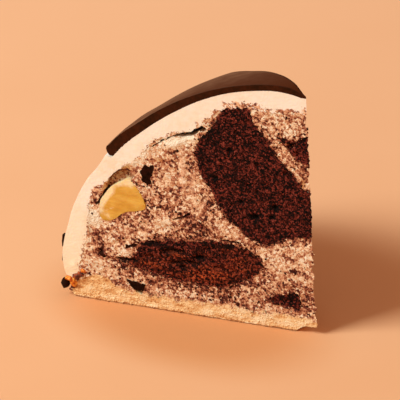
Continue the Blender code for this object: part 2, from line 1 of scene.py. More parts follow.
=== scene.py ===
# %% [markdown]
# # A slice of domed sour cream cake
#
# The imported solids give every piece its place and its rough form. This lesson dresses them: it makes
# each layer again at the scale of a crumb, cuts the layers with torn and clean cuts, strews crumbs and
# flakes, and mixes the materials. Places on a cut face are (u, v) in millimetres: u runs outwards from
# the dome's axis, and v is the height above the table.

import math
import random

import bmesh
import bpy
import numpy as np
from mathutils import Matrix, Vector, noise


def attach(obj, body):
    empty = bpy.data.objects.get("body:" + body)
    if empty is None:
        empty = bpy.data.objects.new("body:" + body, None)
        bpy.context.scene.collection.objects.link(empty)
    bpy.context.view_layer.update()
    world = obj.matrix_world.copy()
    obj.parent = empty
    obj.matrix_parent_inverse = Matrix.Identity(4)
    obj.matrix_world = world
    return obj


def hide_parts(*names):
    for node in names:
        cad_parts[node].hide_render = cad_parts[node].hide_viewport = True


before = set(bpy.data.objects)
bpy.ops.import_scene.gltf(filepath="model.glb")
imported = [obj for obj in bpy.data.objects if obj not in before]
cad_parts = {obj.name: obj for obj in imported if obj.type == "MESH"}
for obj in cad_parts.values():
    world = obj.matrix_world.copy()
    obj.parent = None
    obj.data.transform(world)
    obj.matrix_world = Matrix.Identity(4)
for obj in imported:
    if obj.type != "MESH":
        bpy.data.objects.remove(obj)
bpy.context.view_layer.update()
MM = 0.001
print("nodes:", sorted(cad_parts))

# %% [markdown]
# ## The camera
#
# The photo looks down on the slice from the front, turned so that one cut face shows almost squarely,
# with a long lens. A camera's matrix holds its right, up and back directions as columns, so working
# those out from three angles places it exactly, with no tracking constraint to tune. The picture is
# developed with the Standard view, because the filmic ones wash out the warm colours of food.

# %% Place the camera
CAMERA_TURN, CAMERA_RISE, CAMERA_ROLL = (math.radians(a) for a in (42.8, 27.1, -3.45))
CAMERA_DISTANCE = 1.5
FRAME_PIXELS = 400
FOCAL_PIXELS = 4051.5
AIM = Vector((-0.00035, 0.0, 0.045))
AIM_PIXEL = (204.3, 188.7)


def place_camera():
    turn, rise = CAMERA_TURN, CAMERA_RISE
    back = Vector((math.sin(turn) * math.cos(rise), -math.cos(turn) * math.cos(rise), math.sin(rise)))
    level = Vector((math.cos(turn), math.sin(turn), 0))
    raised = back.cross(level)
    right = level * math.cos(CAMERA_ROLL) + raised * math.sin(CAMERA_ROLL)
    up = raised * math.cos(CAMERA_ROLL) - level * math.sin(CAMERA_ROLL)
    across, down = ((p - FRAME_PIXELS / 2) / FOCAL_PIXELS * CAMERA_DISTANCE for p in AIM_PIXEL)
    place = AIM - right * across + up * down + back * CAMERA_DISTANCE
    data = bpy.data.cameras.new("camera")
    data.sensor_width = 36.0
    data.lens = data.sensor_width * FOCAL_PIXELS / FRAME_PIXELS
    camera = bpy.data.objects.new("camera", data)
    bpy.context.scene.collection.objects.link(camera)
    camera.matrix_world = Matrix.Translation(place) @ Matrix((right, up, back)).transposed().to_4x4()
    bpy.context.scene.camera = camera
    return camera


camera = place_camera()
bpy.context.scene.view_settings.view_transform = "Standard"
print("camera at", [round(c, 3) for c in camera.location], "lens", round(camera.data.lens, 1))

# %% [markdown]
# ## The dome's shape
#
# A spread dome isn't a ball: its side bellies out low down, its shoulder is a little flat, and a hand
# never spreads cream evenly. A function of the polar angle says how far the outside reaches, and soft
# bumps are added to it. These are the sizes that the solids were made from.

# %% Say how far the dome reaches
AXIS_X = 49.65
DOME_RADIUS, DOME_HEIGHT, WIDEST_HEIGHT = 99.6, 100.8, 11.2
BELLY = (1.0, 4.0, 6.0)
SHOULDER_DENT = (-1.5, 39.4, 27.8)
HALF_ANGLE = 18.0
CUT_OFFSET = 0.65


def bell(value, centre, width):
    """A smooth bump of height 1 round centre."""
    return math.exp(-(((value - centre) / width) ** 2))


def clamped(value):
    return min(1.0, max(0.0, value))


def smooth_step(value):
    share = clamped(value)
    return share * share * (3 - 2 * share)


def bump(angle, shape):
    height, centre, width = shape
    return height * bell(angle, centre, width)


def dome_reach(angle):
    """Distance from the dome's centre to its outside at a polar angle in degrees."""
    a = math.radians(angle)
    ellipse = 1 / math.hypot(math.cos(a) / DOME_RADIUS, math.sin(a) / (DOME_HEIGHT - WIDEST_HEIGHT))
    return ellipse + bump(angle, BELLY) + bump(angle, SHOULDER_DENT)


def polar(angle, reach):
    """(radius, height) of the point at that polar angle and distance from the dome's centre."""
    a = math.radians(angle)
    return max(0.0, reach * math.cos(a)), WIDEST_HEIGHT + reach * math.sin(a)


def angles(first, last, steps):
    return [first + (last - first) * i / steps for i in range(steps + 1)]


foot_reach, top_reach = (round(dome_reach(angle), 1) for angle in (0, 90))
print("the dome reaches", foot_reach, "mm at the foot and", top_reach, "at the top")

# %% [markdown]
# The cream is 6 to 9 mm thick, and its inner side waves where it met the heaped filling. At the scale
# of a crumb that border is ragged, because the spatula dragged crumbs into the cream. The cream and
# the filling share one ragged line, so that no gap opens between them. The sizes follow the solids,
# except that the glaze is a tenth or two of a millimetre thicker here, as it looks in the photo.

# %% Say where the layers meet
COAT_THICKNESS, COAT_WAVE, COAT_WAVE_LENGTH, COAT_WAVE_START = 7.2, 1.5, 24.5, 8.4
COAT_RAGGED = (2.3, 1.3)  # size and height of the ragged border with the filling
GLAZE_BED_LEAD, GLAZE_BED_REACH = 2.2, 12.0  # degrees over which the cream makes room for the glaze
GLAZE_THICKNESS = (2.3, 3.5)
GLAZE_THINNING = (45.0, 75.0)
GLAZE_RIM_ANGLE = 33.2
GLAZE_BEAD = (0.6, 38.5, 4.5)
GLAZE_NOSE = ((1.5, 0.5), (1.0, 0.25), (0.6, -0.4), (0.35, -0.9), (0.2, -1.4), (0.1, -1.9), (0.05, -2.4))
GLAZE_LEDGE = ((0.35, 3.1), (0.55, 1.8))
GLAZE_TIP_SHARE = 0.35
CREAM_DIP = (-1.4, 29.5, 4.6)
RIM_DRAWBACK = (3.4, 17.0, 12.0)
RIM_DEPTH = 4.2
BASE_THICKNESS, BASE_RADIUS = 6.8, 97.4
BASE_HUMP, BASE_HUMP_RADIUS, BASE_HUMP_WIDTH = 3.9, 86.0, 6.5
BASE_RAGGED = (2.6, 1.2)
TIP_LIFT, TIP_LIFT_RADII = 2.9, (2.4, 8.0)
UNDERSIDE_WAVE = (5.0, 0.35)
OVERLAP = 0.06  # neighbouring layers run into each other by this, so that their joint is closed


def glaze_depth(angle):
    thin, thick = GLAZE_THICKNESS
    first, last = GLAZE_THINNING
    return thick + (thin - thick) * smooth_step((angle - first) / (last - first))


def ragged(x, y, size, height):
    """Unevenness in two octaves, the larger one about size long and height high."""
    place = Vector((x, y, 0.0)) / size
    return height * (noise.noise(place) + 0.5 * noise.noise(place * 2.3 + Vector((9, 4, 2))))


def coat_depth(angle):
    """Depth of the cream's inner side below the dome's outside."""
    wave = COAT_WAVE * math.cos(2 * math.pi * (angle - COAT_WAVE_START) / COAT_WAVE_LENGTH)
    under_glaze = smooth_step((angle - GLAZE_RIM_ANGLE + GLAZE_BED_LEAD) / GLAZE_BED_REACH)
    arc = math.radians(angle) * DOME_RADIUS
    return COAT_THICKNESS + wave + glaze_depth(angle) * under_glaze + ragged(arc, 3.0, *COAT_RAGGED)


def base_top(radius):
    hump = BASE_HUMP * bell(radius, BASE_HUMP_RADIUS, BASE_HUMP_WIDTH)
    return BASE_THICKNESS + hump + ragged(radius, 50.0, *BASE_RAGGED)


def base_bottom(radius):
    full, gone = TIP_LIFT_RADII
    lift = TIP_LIFT * smooth_step((gone - radius) / (gone - full))
    size, height = UNDERSIDE_WAVE
    return lift + height * max(0.0, noise.noise(Vector((radius / size, 8.0, 0))))


def spaced(first, last, step):
    """Numbers from first to last, about step apart."""
    return angles(first, last, max(1, round(abs(last - first) / step)))


cream_depths = [round(coat_depth(angle), 1) for angle in (10, 30, 50, 70)]
print("the cream is", cream_depths, "mm deep at 10, 30, 50 and 70 degrees")

# %% [markdown]
# ## Small tools
#
# Each step below ends in a plain mesh. `put` adds a node and fills its sockets in order, so a node tree
# reads like a list of sentences. A tree's result is turned into a mesh and its modifier removed, because
# a plain mesh can be cut, measured and exported. Cuts use the manifold solver, which is quick on fine
# meshes and closes them again.

# %% Write helpers for nodes, trees and cuts
def put(tree, kind, *values, **settings):
    """Adds a node. Values go to its shown inputs in order: a socket is linked, None is left alone."""
    node = tree.nodes.new(kind)
    for name, setting in settings.items():
        setattr(node, name, setting)
    shown = [socket for socket in node.inputs if socket.enabled]
    for socket, value in zip(shown, values):
        if isinstance(value, bpy.types.NodeSocket):
            tree.links.new(value, socket)
        elif value is not None:
            socket.default_value = value
    return node


def maths(tree, operation, *values):
    return put(tree, "ShaderNodeMath", *values, operation=operation).outputs[0]


def mapped(tree, value, *ends, **settings):
    """The value, with the range between the first two ends stretched to the last two."""
    return put(tree, "ShaderNodeMapRange", value, *ends, **settings).outputs[0]


def shifted(tree, vector, *amount):
    return put(tree, "ShaderNodeVectorMath", vector, amount, operation="ADD").outputs[0]


def stretched(tree, vector, *amount):
    return put(tree, "ShaderNodeVectorMath", vector, amount, operation="MULTIPLY").outputs[0]


def new_tree(name, sockets):
    """A geometry tree with named inputs, given as {name: (kind, default)}, and its two end nodes."""
    tree = bpy.data.node_groups.new(name, "GeometryNodeTree")
    for side in ("INPUT", "OUTPUT"):
        tree.interface.new_socket("Geometry", in_out=side, socket_type="NodeSocketGeometry")
    for label, (kind, default) in sockets.items():
        socket = tree.interface.new_socket(label, in_out="INPUT", socket_type="NodeSocket" + kind)
        if default is not None:
            socket.default_value = default
    return tree, tree.nodes.new("NodeGroupInput").outputs, tree.nodes.new("NodeGroupOutput").inputs


def linked(name, mesh):
    obj = bpy.data.objects.new(name, mesh)
    bpy.context.scene.collection.objects.link(obj)
    return obj


def settle_modifiers(obj):
    """Replaces the object's mesh by its evaluated one, and removes the modifiers."""
    graph = bpy.context.evaluated_depsgraph_get()
    mesh = bpy.data.meshes.new_from_object(obj.evaluated_get(graph), depsgraph=graph)
    obj.modifiers.clear()
    obj.data = mesh
    return obj


def grow_tree(obj, tree, **values):
    """Runs a geometry tree on the object. Inputs are set by their sockets' identifiers."""
    modifier = obj.modifiers.new(tree.name, "NODES")
    modifier.node_group = tree
    for socket in tree.interface.items_tree:
        if socket.item_type == "SOCKET" and socket.name in values:
            modifier[socket.identifier] = values[socket.name]
    return settle_modifiers(obj)


def boolean(obj, other, operation):
    cut = obj.modifiers.new(operation.title(), "BOOLEAN")
    cut.operation = operation
    cut.solver = "MANIFOLD"
    cut.object = other
    settle_modifiers(obj)


def face_outwards(bm):
    """Closed bodies with their faces pointing out."""
    bm.normal_update()
    bmesh.ops.recalc_face_normals(bm, faces=bm.faces)
    if bm.calc_volume(signed=True) < 0:
        bmesh.ops.reverse_faces(bm, faces=bm.faces)


def bmesh_object(name, bm):
    mesh = bpy.data.meshes.new(name)
    bm.to_mesh(mesh)
    bm.free()
    return linked(name, mesh)


def discard(*objects):
    for obj in objects:
        bpy.data.objects.remove(obj, do_unlink=True)


def measures(obj):
    """The object's count of faces and its box in millimetres, to print."""
    return f"{len(obj.data.polygons)} faces, box {[round(d / MM, 1) for d in obj.dimensions]}"


print("helpers ready")

# %% [markdown]
# ## Turning a layer
#
# Every layer of the cake is a profile turned about the dome's axis, so one Geometry Nodes tree can make
# them all. It lays a grid, reads the profile's point for each row, and turns it by the column's angle.
# Only the tenth of the cake that is kept needs fine columns. A Screw modifier would do the same, but
# with even steps all round.

# %% Build the tree that turns a profile
FINE_TURN, FINE_COLUMNS = 21.0, 76  # the fine columns reach this many degrees to each side
COARSE_COLUMNS = 14
MERGE_REACH = 0.002


def grid_of(tree, columns, rows):
    """A grid, and the row and the column that each of its points is in."""
    grid = put(tree, "GeometryNodeMeshGrid", 1.0, 1.0, columns, rows).outputs[0]
    index = put(tree, "GeometryNodeInputIndex").outputs[0]
    row = maths(tree, "MODULO", index, rows)
    return grid, row, maths(tree, "FLOOR", maths(tree, "DIVIDE", maths(tree, "ADD", index, 0.5), rows))


def turning_tree():
    tree, given, result = new_tree("turned_layer", {
        "Fine turn": ("Float", FINE_TURN), "Fine columns": ("Int", FINE_COLUMNS),
        "Coarse columns": ("Int", COARSE_COLUMNS),
    })
    profile, fine_turn, fine, coarse = given[0:4]
    rows = put(tree, "GeometryNodeAttributeDomainSize", profile).outputs[0]
    columns = maths(tree, "ADD", maths(tree, "ADD", fine, coarse), 1.0)
    grid, row, column = grid_of(tree, columns, rows)
    position = put(tree, "GeometryNodeInputPosition").outputs[0]
    point = put(tree, "GeometryNodeSampleIndex", profile, position, row, data_type="FLOAT_VECTOR").outputs[0]
    width = maths(tree, "MULTIPLY", fine_turn, 2.0)
    start = maths(tree, "MULTIPLY", fine_turn, -1.0)
    first = mapped(tree, column, 0.0, fine, start, fine_turn)
    rest = maths(tree, "SUBTRACT", 360.0, width)
    last_column = maths(tree, "ADD", fine, coarse)
    second = mapped(tree, column, fine, last_column, 0.0, rest)
    angle = maths(tree, "RADIANS", maths(tree, "ADD", first, second))
    turned = put(tree, "ShaderNodeVectorRotate", point, (0, 0, 0), (0, 0, 1), angle,
                 rotation_type="AXIS_ANGLE")
    placed = put(tree, "GeometryNodeSetPosition", grid, None, turned.outputs[0]).outputs[0]
    closed = put(tree, "GeometryNodeMergeByDistance", placed, None, MERGE_REACH * MM).outputs[0]
    real = put(tree, "GeometryNodeRealizeInstances", closed).outputs[0]
    tree.links.new(real, result[0])
    return tree


turning = turning_tree()


def turned(name, profile):
    """A layer from its (radius, height) profile, towards -X, with its faces pointing out."""
    mesh = bpy.data.meshes.new(name)
    mesh.from_pydata([(-r * MM, 0, h * MM) for r, h in profile], [], [])
    obj = grow_tree(linked(name, mesh), turning)
    bm = bmesh.new()
    bm.from_mesh(obj.data)
    face_outwards(bm)
    bm.to_mesh(obj.data)
    bm.free()
    return obj


print("fine columns are", round(2 * FINE_TURN / FINE_COLUMNS, 2), "degrees apart")

# %% [markdown]
# The hand-spread dome swells and sinks, droops over its thin tip, and its chocolate rim runs down in
# lobes. The rules are the solids' own, except that the tip droops about 2 mm more, as it does in the
# photo. Every layer follows the same rules, so that it still meets its neighbour.

# %% Shape the turned layers by hand
WAVINESS, WAVE_COUNT = 0.006, 3.1
SAG, SAG_SPREAD = (0.010, 66.0, 9.0), 0.24
TIP_DROOP, TIP_DROOP_REACH = 0.024, (0.15, 0.15)
FOOT_FADE = 2.5  # the foot stays round, and the unevenness grows this fast above it
STROKE_HEIGHT, STROKE_LENGTH, STROKE_WIDTH = 0.22, 19, 7
PITTING_HEIGHT, PITTING_SIZE = 0.08, 4.1
AXIS_CORE = 1.0  # places nearer to the axis than this have no direction round it
THIN_TIP_ANGLE, THIN_TIP_START, THIN_TIP_REACH = 60, 4.0, 6.0


def unevenness(direction):
    share, angle, width = SAG
    height = math.degrees(math.asin(max(-1.0, min(1.0, direction.z))))
    sag = share * bell(height, angle, width) * clamped(0.5 + direction.y / SAG_SPREAD)
    start, reach = TIP_DROOP_REACH
    droop = TIP_DROOP * clamped((direction.x + start) / reach) ** 2
    waves = WAVINESS * noise.noise(direction * WAVE_COUNT + Vector((4.0, 1.0, 7.0)))
    return clamped(direction.z * FOOT_FADE) * (waves - sag - droop)


def spread_marks(place):
    """Low strokes that a spatula leaves in cream, in millimetres."""
    stroke = Vector((place.x / STROKE_LENGTH, place.y / STROKE_LENGTH, place.z / STROKE_WIDTH))
    return STROKE_HEIGHT * noise.noise(stroke) + PITTING_HEIGHT * noise.noise(place / PITTING_SIZE)


def settle(obj, marks=0.0):
    centre = Vector((0, 0, WIDEST_HEIGHT * MM))
    for vert in obj.data.vertices:
        out = vert.co - centre
        way = out.normalized()
        stroke = marks * spread_marks(vert.co / MM) * MM if marks else 0.0
        vert.co = centre + out * (1 + unevenness(way)) + way * stroke + Vector((AXIS_X * MM, 0, 0))


def draw_back_rim(obj):
    """Draws the glaze's rim, and the ledge that it lies on, back up the dome between its lobes."""
    depth, spacing, reach = RIM_DRAWBACK
    for vert in obj.data.vertices:
        x, y, height = (value / MM for value in vert.co)
        radius = math.hypot(x, y)
        angle = math.degrees(math.atan2(height - WIDEST_HEIGHT, radius))
        lift = math.hypot(radius, height - WIDEST_HEIGHT) - dome_reach(angle)
        if lift < -RIM_DEPTH or radius < AXIS_CORE:
            continue
        turn = math.degrees(math.atan2(-y, -x))
        lobe = (1 - math.cos(2 * math.pi * (HALF_ANGLE - turn) / spacing)) / 2
        raised = angle + depth * lobe * bell(angle, GLAZE_RIM_ANGLE, reach)
        new_radius, new_height = polar(raised, dome_reach(raised) + lift)
        vert.co = Vector((x * new_radius / radius, y * new_radius / radius, new_height)) * MM


def thin_tip(obj):
    """Lets the glaze run thin where it bends over the slice's tip."""
    for vert in obj.data.vertices:
        x, y, height = (value / MM for value in vert.co)
        angle = math.degrees(math.atan2(height - WIDEST_HEIGHT, math.hypot(x, y)))
        lift = math.hypot(x, y, height - WIDEST_HEIGHT) - dome_reach(angle)
        if angle > THIN_TIP_ANGLE:
            near_tip = clamped((x + THIN_TIP_START) / THIN_TIP_REACH)
            vert.co.z -= (1 - GLAZE_TIP_SHARE) * (lift + glaze_depth(angle)) * near_tip * MM


print("the rim's lobes are", RIM_DRAWBACK[1], "degrees apart")

# %% [markdown]
# ## Cut faces
#
# A knife goes cleanly through cream and chocolate, but it tears crumb. A cut face is a fine sheet in
# (u, v) whose height comes from noise: broad swells that all pieces share, grains of crumb, and pores
# where bubbles were. The tree has an input for each, so one tree gives the clean cut, the filling's
# loose crumb, the sponge's fine one and the base's. The sheet becomes one side of a block that is
# then cut away, so the relief is real and shows in the mesh and along every edge.

# %% Build the tree for a cut face
SHEET_STEP = 0.52
FACE_U = (-4.0, 103.0)
FACE_V = (-6.0, 104.0)
BLOCK_REACH = 115.0
CRUMB_MIDDLE = 0.45  # where the relief of a crumb is neither up nor down
PORE_WARP, LARGEST_PORE = 0.35, 0.34


def cut_tree():
    tree, given, result = new_tree("cut_face", {
        "Step": ("Float", SHEET_STEP), "Seed": ("Float", 0.0), "Sink": ("Float", 0.0),
        "Swell size": ("Float", 7.0), "Swell height": ("Float", 0.4),
        "Grain size": ("Float", 2.0), "Grain height": ("Float", 0.3),
        "Crumb size": ("Float", 1.1), "Crumb height": ("Float", 0.25), "Crumb stretch": ("Float", 1.0),
        "Pore spacing": ("Float", 5.0), "Pore share": ("Float", 0.0), "Pore depth": ("Float", 0.8),
    })
    (step, seed, sink, swell_size, swell_height, grain_size, grain_height, crumb_size, crumb_height,
     crumb_stretch, pore_spacing, pore_share, pore_depth) = given[1:14]
    coarse = 5.0
    first_u, last_u = FACE_U
    first_v, last_v = FACE_V
    fine_columns = maths(tree, "ROUND", maths(tree, "DIVIDE", last_u - first_u, step))
    rows = maths(tree, "ROUND", maths(tree, "DIVIDE", last_v - first_v, step))
    columns = maths(tree, "ADD", fine_columns, 2 * coarse + 1)
    grid, row, column = grid_of(tree, columns, rows)
    inner = mapped(tree, column, 0.0, coarse, -BLOCK_REACH, first_u)
    fine_end = maths(tree, "ADD", fine_columns, coarse)
    middle = mapped(tree, column, coarse, fine_end, 0.0, last_u - first_u)
    far_end = maths(tree, "ADD", fine_end, coarse)
    outer = mapped(tree, column, fine_end, far_end, 0.0, BLOCK_REACH - last_u)
    u = maths(tree, "ADD", maths(tree, "ADD", inner, middle), outer)
    last_row = maths(tree, "SUBTRACT", rows, 1.0)
    v = mapped(tree, row, 0.0, last_row, first_v, last_v)
    flat = put(tree, "ShaderNodeCombineXYZ", u, v, seed).outputs[0]

    def waves(size, detail):
        scaled = put(tree, "ShaderNodeVectorMath", flat, size, operation="DIVIDE").outputs[0]
        raw = put(tree, "ShaderNodeTexNoise", scaled, 1.0, detail, 0.55).outputs[0]
        return maths(tree, "MULTIPLY", maths(tree, "SUBTRACT", raw, 0.5), 2.0)

    relief = maths(tree, "MULTIPLY", waves(swell_size, 1.0), swell_height)
    relief = maths(tree, "MULTIPLY_ADD", waves(grain_size, 2.0), grain_height, relief)
    crumb_v = maths(tree, "MULTIPLY", v, crumb_stretch)
    crumb_flat = put(tree, "ShaderNodeCombineXYZ", u, crumb_v, seed).outputs[0]
    crumb_place = put(tree, "ShaderNodeVectorMath", crumb_flat, crumb_size, operation="DIVIDE").outputs[0]
    crumb = put(tree, "ShaderNodeTexVoronoi", crumb_place, 1.0).outputs[0]
    crumb = maths(tree, "SUBTRACT", CRUMB_MIDDLE, crumb)
    relief = maths(tree, "MULTIPLY_ADD", crumb, crumb_height, relief)
    pore_place = put(tree, "ShaderNodeVectorMath", flat, pore_spacing, operation="DIVIDE").outputs[0]
    warp = put(tree, "ShaderNodeTexNoise", pore_place, 3.0, 2.0).outputs[1]
    warped = put(tree, "ShaderNodeVectorMath", warp, (PORE_WARP, PORE_WARP, 0.0), pore_place,
                 operation="MULTIPLY_ADD")
    pores = put(tree, "ShaderNodeTexVoronoi", warped.outputs[0], 1.0)
    draw = put(tree, "ShaderNodeSeparateXYZ", pores.outputs[1]).outputs[0]
    from_share = maths(tree, "SUBTRACT", 1.0, pore_share)
    radius = mapped(tree, draw, from_share, 1.0, 0.0, LARGEST_PORE)
    dip = mapped(tree, pores.outputs[0], radius, 0.0, 0.0, 1.0, interpolation_type="SMOOTHSTEP")
    relief = maths(tree, "SUBTRACT", relief, maths(tree, "MULTIPLY", dip, pore_depth))
    relief = maths(tree, "SUBTRACT", relief, sink)
    place = put(tree, "ShaderNodeCombineXYZ", u, v, relief).outputs[0]
    laid = put(tree, "GeometryNodeSetPosition", grid, None, place).outputs[0]
    real = put(tree, "GeometryNodeRealizeInstances", laid).outputs[0]
    tree.links.new(real, result[0])
    return tree


cutting = cut_tree()
print("the cut's tree has", len(cutting.nodes), "nodes")

# %% [markdown]
# The two cuts stand 18 degrees either side of the slice's middle. A matrix for each takes (u, v, out)
# to the cake's place. Marks that the photo shows, such as a large pore, a dent or a lump that stands
# out, are soft oval patches added to the noise on the near face.

# %% Make the cut blocks
NEAR, FAR = 1, -1
CUT_SEED, SEED_BETWEEN_FACES = 3.7, 20.0


def face_matrix(side):
    """Takes (u, v, out) in millimetres to the cake's frame. NEAR is the face that the photo shows."""
    turn = math.radians(HALF_ANGLE) * side
    along = Vector((-math.cos(turn), -math.sin(turn), 0))
    away = Vector((math.sin(turn), -math.cos(turn), 0)) * side
    axes = Matrix((along, Vector((0, 0, 1)), away)).transposed().to_4x4()
    start = Vector((AXIS_X, 0, 0)) + away * CUT_OFFSET
    return Matrix.Scale(MM, 4) @ Matrix.Translation(start) @ axes


FACES = {side: face_matrix(side) for side in (NEAR, FAR)}


def patch_sum(u, v, patches):
    """The sum of soft oval patches (u, v, reach along, reach across, lean in degrees, strength)."""
    total = np.zeros_like(u)
    for centre_u, centre_v, reach_u, reach_v, lean, strength in patches:
        a = math.radians(lean)
        along = (u - centre_u) * math.cos(a) + (v - centre_v) * math.sin(a)
        across = (v - centre_v) * math.cos(a) - (u - centre_u) * math.sin(a)
        total += strength * np.exp(-((along / reach_u) ** 2) - (across / reach_v) ** 2)
    return total


def read_places(mesh):
    flat = np.empty(3 * len(mesh.vertices), dtype=np.float32)
    mesh.vertices.foreach_get("co", flat)
    return flat.reshape(-1, 3)


def cut_block(name, side, dents=(), **relief):
    """A closed block whose inner side is a cut face. Each dent is a patch whose strength is its depth."""
    seed = CUT_SEED + SEED_BETWEEN_FACES * side
    sheet = grow_tree(linked(name, bpy.data.meshes.new(name)), cutting, Seed=seed, **relief)
    places = read_places(sheet.data)
    places[:, 2] -= patch_sum(places[:, 0], places[:, 1], dents)
    sheet.data.vertices.foreach_set("co", places.ravel())
    bm = bmesh.new()
    bm.from_mesh(sheet.data)
    edge = [e for e in bm.edges if e.is_boundary]
    grown = bmesh.ops.extrude_edge_only(bm, edges=edge)["geom"]
    rim = [g for g in grown if isinstance(g, bmesh.types.BMVert)]
    bmesh.ops.translate(bm, vec=(0, 0, BLOCK_REACH), verts=rim)
    bmesh.ops.contextual_create(bm, geom=[e for e in bm.edges if e.is_boundary])
    bm.transform(FACES[side])
    face_outwards(bm)
    bm.to_mesh(sheet.data)
    bm.free()
    return sheet


CUTS = {
    "clean": {"Swell size": 16.0, "Swell height": 0.12, "Grain size": 3.5, "Grain height": 0.1,
              "Crumb height": 0.0, "Sink": 0.04, "Step": 0.8},
    "torn": {"Swell height": 0.32, "Grain size": 2.6, "Grain height": 0.55, "Crumb size": 1.15,
             "Crumb height": 0.55, "Pore spacing": 3.6, "Pore share": 0.22, "Pore depth": 0.9, "Sink": 0.1},
    "sponge": {"Swell height": 0.3, "Grain size": 2.2, "Grain height": 0.25, "Crumb size": 1.1,
               "Crumb height": 0.5, "Pore spacing": 5.5, "Pore share": 0.3, "Pore depth": 1.3, "Sink": 0.08},
    "base": {"Swell height": 0.25, "Grain size": 1.8, "Grain height": 0.3, "Crumb size": 0.85,
             "Crumb height": 0.35, "Crumb stretch": 1.6, "Pore spacing": 3.0, "Pore share": 0.2,
             "Pore depth": 0.6, "Sink": 0.05},
    "wet": {"Swell height": 0.25, "Grain size": 3.0, "Grain height": 0.2, "Crumb height": 0.0, "Sink": 0.05},
}
NEAR_DENTS = {
    "clean": [
        (95.4, 13.2, 1.7, 1.4, 20, -0.5), (92.6, 14.6, 1.3, 1.2, 0, -0.4), (93.9, 11.6, 1.2, 0.9, 0, -0.3),
        (93.9, 13.9, 0.6, 1.6, 20, 0.35),
    ],
    "sponge": [
        (20.5, 45.1, 1.25, 1.05, 0, 2.0), (12.5, 50.5, 0.9, 0.8, 0, 1.5), (14.0, 46.0, 0.8, 0.7, 0, 1.4),
        (25.6, 50.7, 0.7, 0.6, 0, 1.0), (29.7, 48.2, 0.7, 0.6, 0, 1.0), (35.9, 59.0, 1.1, 0.8, 0, 1.2),
        (18.3, 66.5, 0.8, 0.7, 0, 1.0), (29.3, 71.0, 1.0, 0.8, 0, 1.2), (7.7, 65.2, 0.7, 0.7, 0, 1.0),
        (33.0, 64.0, 0.6, 0.6, 0, 0.8), (22.5, 58.0, 0.6, 0.5, 0, 0.7), (15.0, 58.5, 0.6, 0.6, 0, 0.8),
        (53.7, 21.1, 2.4, 0.6, -8, 1.7), (48.0, 22.0, 2.2, 0.7, 8, 2.0), (43.8, 24.8, 2.2, 0.7, -10, 1.7),
        (53.0, 26.0, 3.0, 0.6, 0, 1.5), (51.0, 19.8, 1.8, 0.6, 0, 1.3), (57.0, 25.2, 2.0, 0.6, 0, 1.1),
        (74.0, 19.4, 3.4, 0.7, 0, 1.8), (62.0, 28.3, 3.4, 0.5, 8, 0.9), (36.0, 21.5, 2.4, 0.6, 0, 1.0),
        (64.0, 22.0, 2.6, 0.6, -6, 1.0), (30.0, 21.0, 2.0, 0.6, 10, 0.9), (40.0, 29.0, 2.6, 0.6, 0, 0.9),
        (5.2, 76.0, 1.8, 0.9, -30, 2.0), (2.8, 73.4, 0.8, 1.2, 0, 1.4), (9.0, 12.2, 2.2, 0.6, 0, 0.8),
        (1.0, 49.0, 3.5, 8.0, 0, -0.35),
    ],
    "torn": [
        (79.0, 17.6, 3.0, 0.8, 0, 0.8), (64.6, 43.4, 0.7, 3.0, 10, 0.6), (94.6, 10.2, 1.6, 0.8, 0, 0.4),
        (84.2, 21.0, 1.8, 0.8, -25, 0.9), (77.6, 25.4, 2.0, 0.7, -30, 0.8), (45.6, 74.6, 3.2, 0.8, -25, 0.8),
        (51.0, 70.4, 4.6, 1.5, -22, -0.5), (73.4, 21.8, 1.6, 1.4, 0, -0.6), (47.8, 62.0, 0.8, 8.0, 0, -0.35),
        (50.6, 60.0, 0.7, 9.0, 0, 0.4), (41.5, 47.5, 0.8, 6.0, 35, 0.35), (20.0, 30.0, 1.0, 4.0, 0, 0.3),
        (36.4, 33.6, 4.0, 0.5, 0, 0.5), (60.0, 43.0, 5.0, 0.6, 12, 0.4), (87.4, 31.0, 0.8, 5.0, 10, 0.3),
    ],
}
blocks = {
    kind: [
        cut_block(f"{kind}_cut_{side}", side, NEAR_DENTS.get(kind, ()) if side == NEAR else (), **relief)
        for side in (NEAR, FAR)
    ]
    for kind, relief in CUTS.items()
}


def cut_slice(obj, kind):
    for block in blocks[kind]:
        boolean(obj, block, "DIFFERENCE")


for kind, pair in blocks.items():
    print(kind, "cut:", len(pair[0].data.polygons), "faces")

# %% [markdown]
# ## The layers, whole
#
# Cream, glaze, filling and base are turned as complete rounds, as the real cake is built up, so that
# both cut faces and the rind come from one form. Profile points every millimetre are close enough for
# crumb. The glaze's bed, the border of the filling and the base's top use one formula each for both
# neighbours.

# %% Turn the four layers
COAT_FOOT = ((99.9, 10.6), (99.6, 9.6), (99.1, 8.6), (98.3, 7.6), (97.2, 7.0))
SEAT_RADII = (96.2, 91.4)
BASE_EDGE = (
    (-1.4, 6.7), (-0.5, 6.3), (0.0, 5.6), (0.25, 4.8), (0.35, 4.0), (0.3, 3.2), (0.1, 2.4), (-0.3, 1.6),
    (-0.9, 0.9), (-1.8, 0.4),
)
FOOT_ANGLE, TOP_ANGLE = 2.0, 90.0
GLAZE_STEP, WALL_STEP = 0.7, 0.6  # degrees between the points of a profile
FLAT_STEP, UNDERSIDE_STEP = 1.0, 1.2  # millimetres between them
LEDGE_ABOVE, LEDGE_BELOW, SIDE_END = 0.3, 1.0, 0.2  # degrees from the glaze's rim, and above the foot
NOSE_ABOVE, NOSE_WITHIN = 2.4, 0.5
EDGE_WITHIN, EDGE_UNDER = 2.4, 4.9  # millimetres in from the base's edge, above and below it


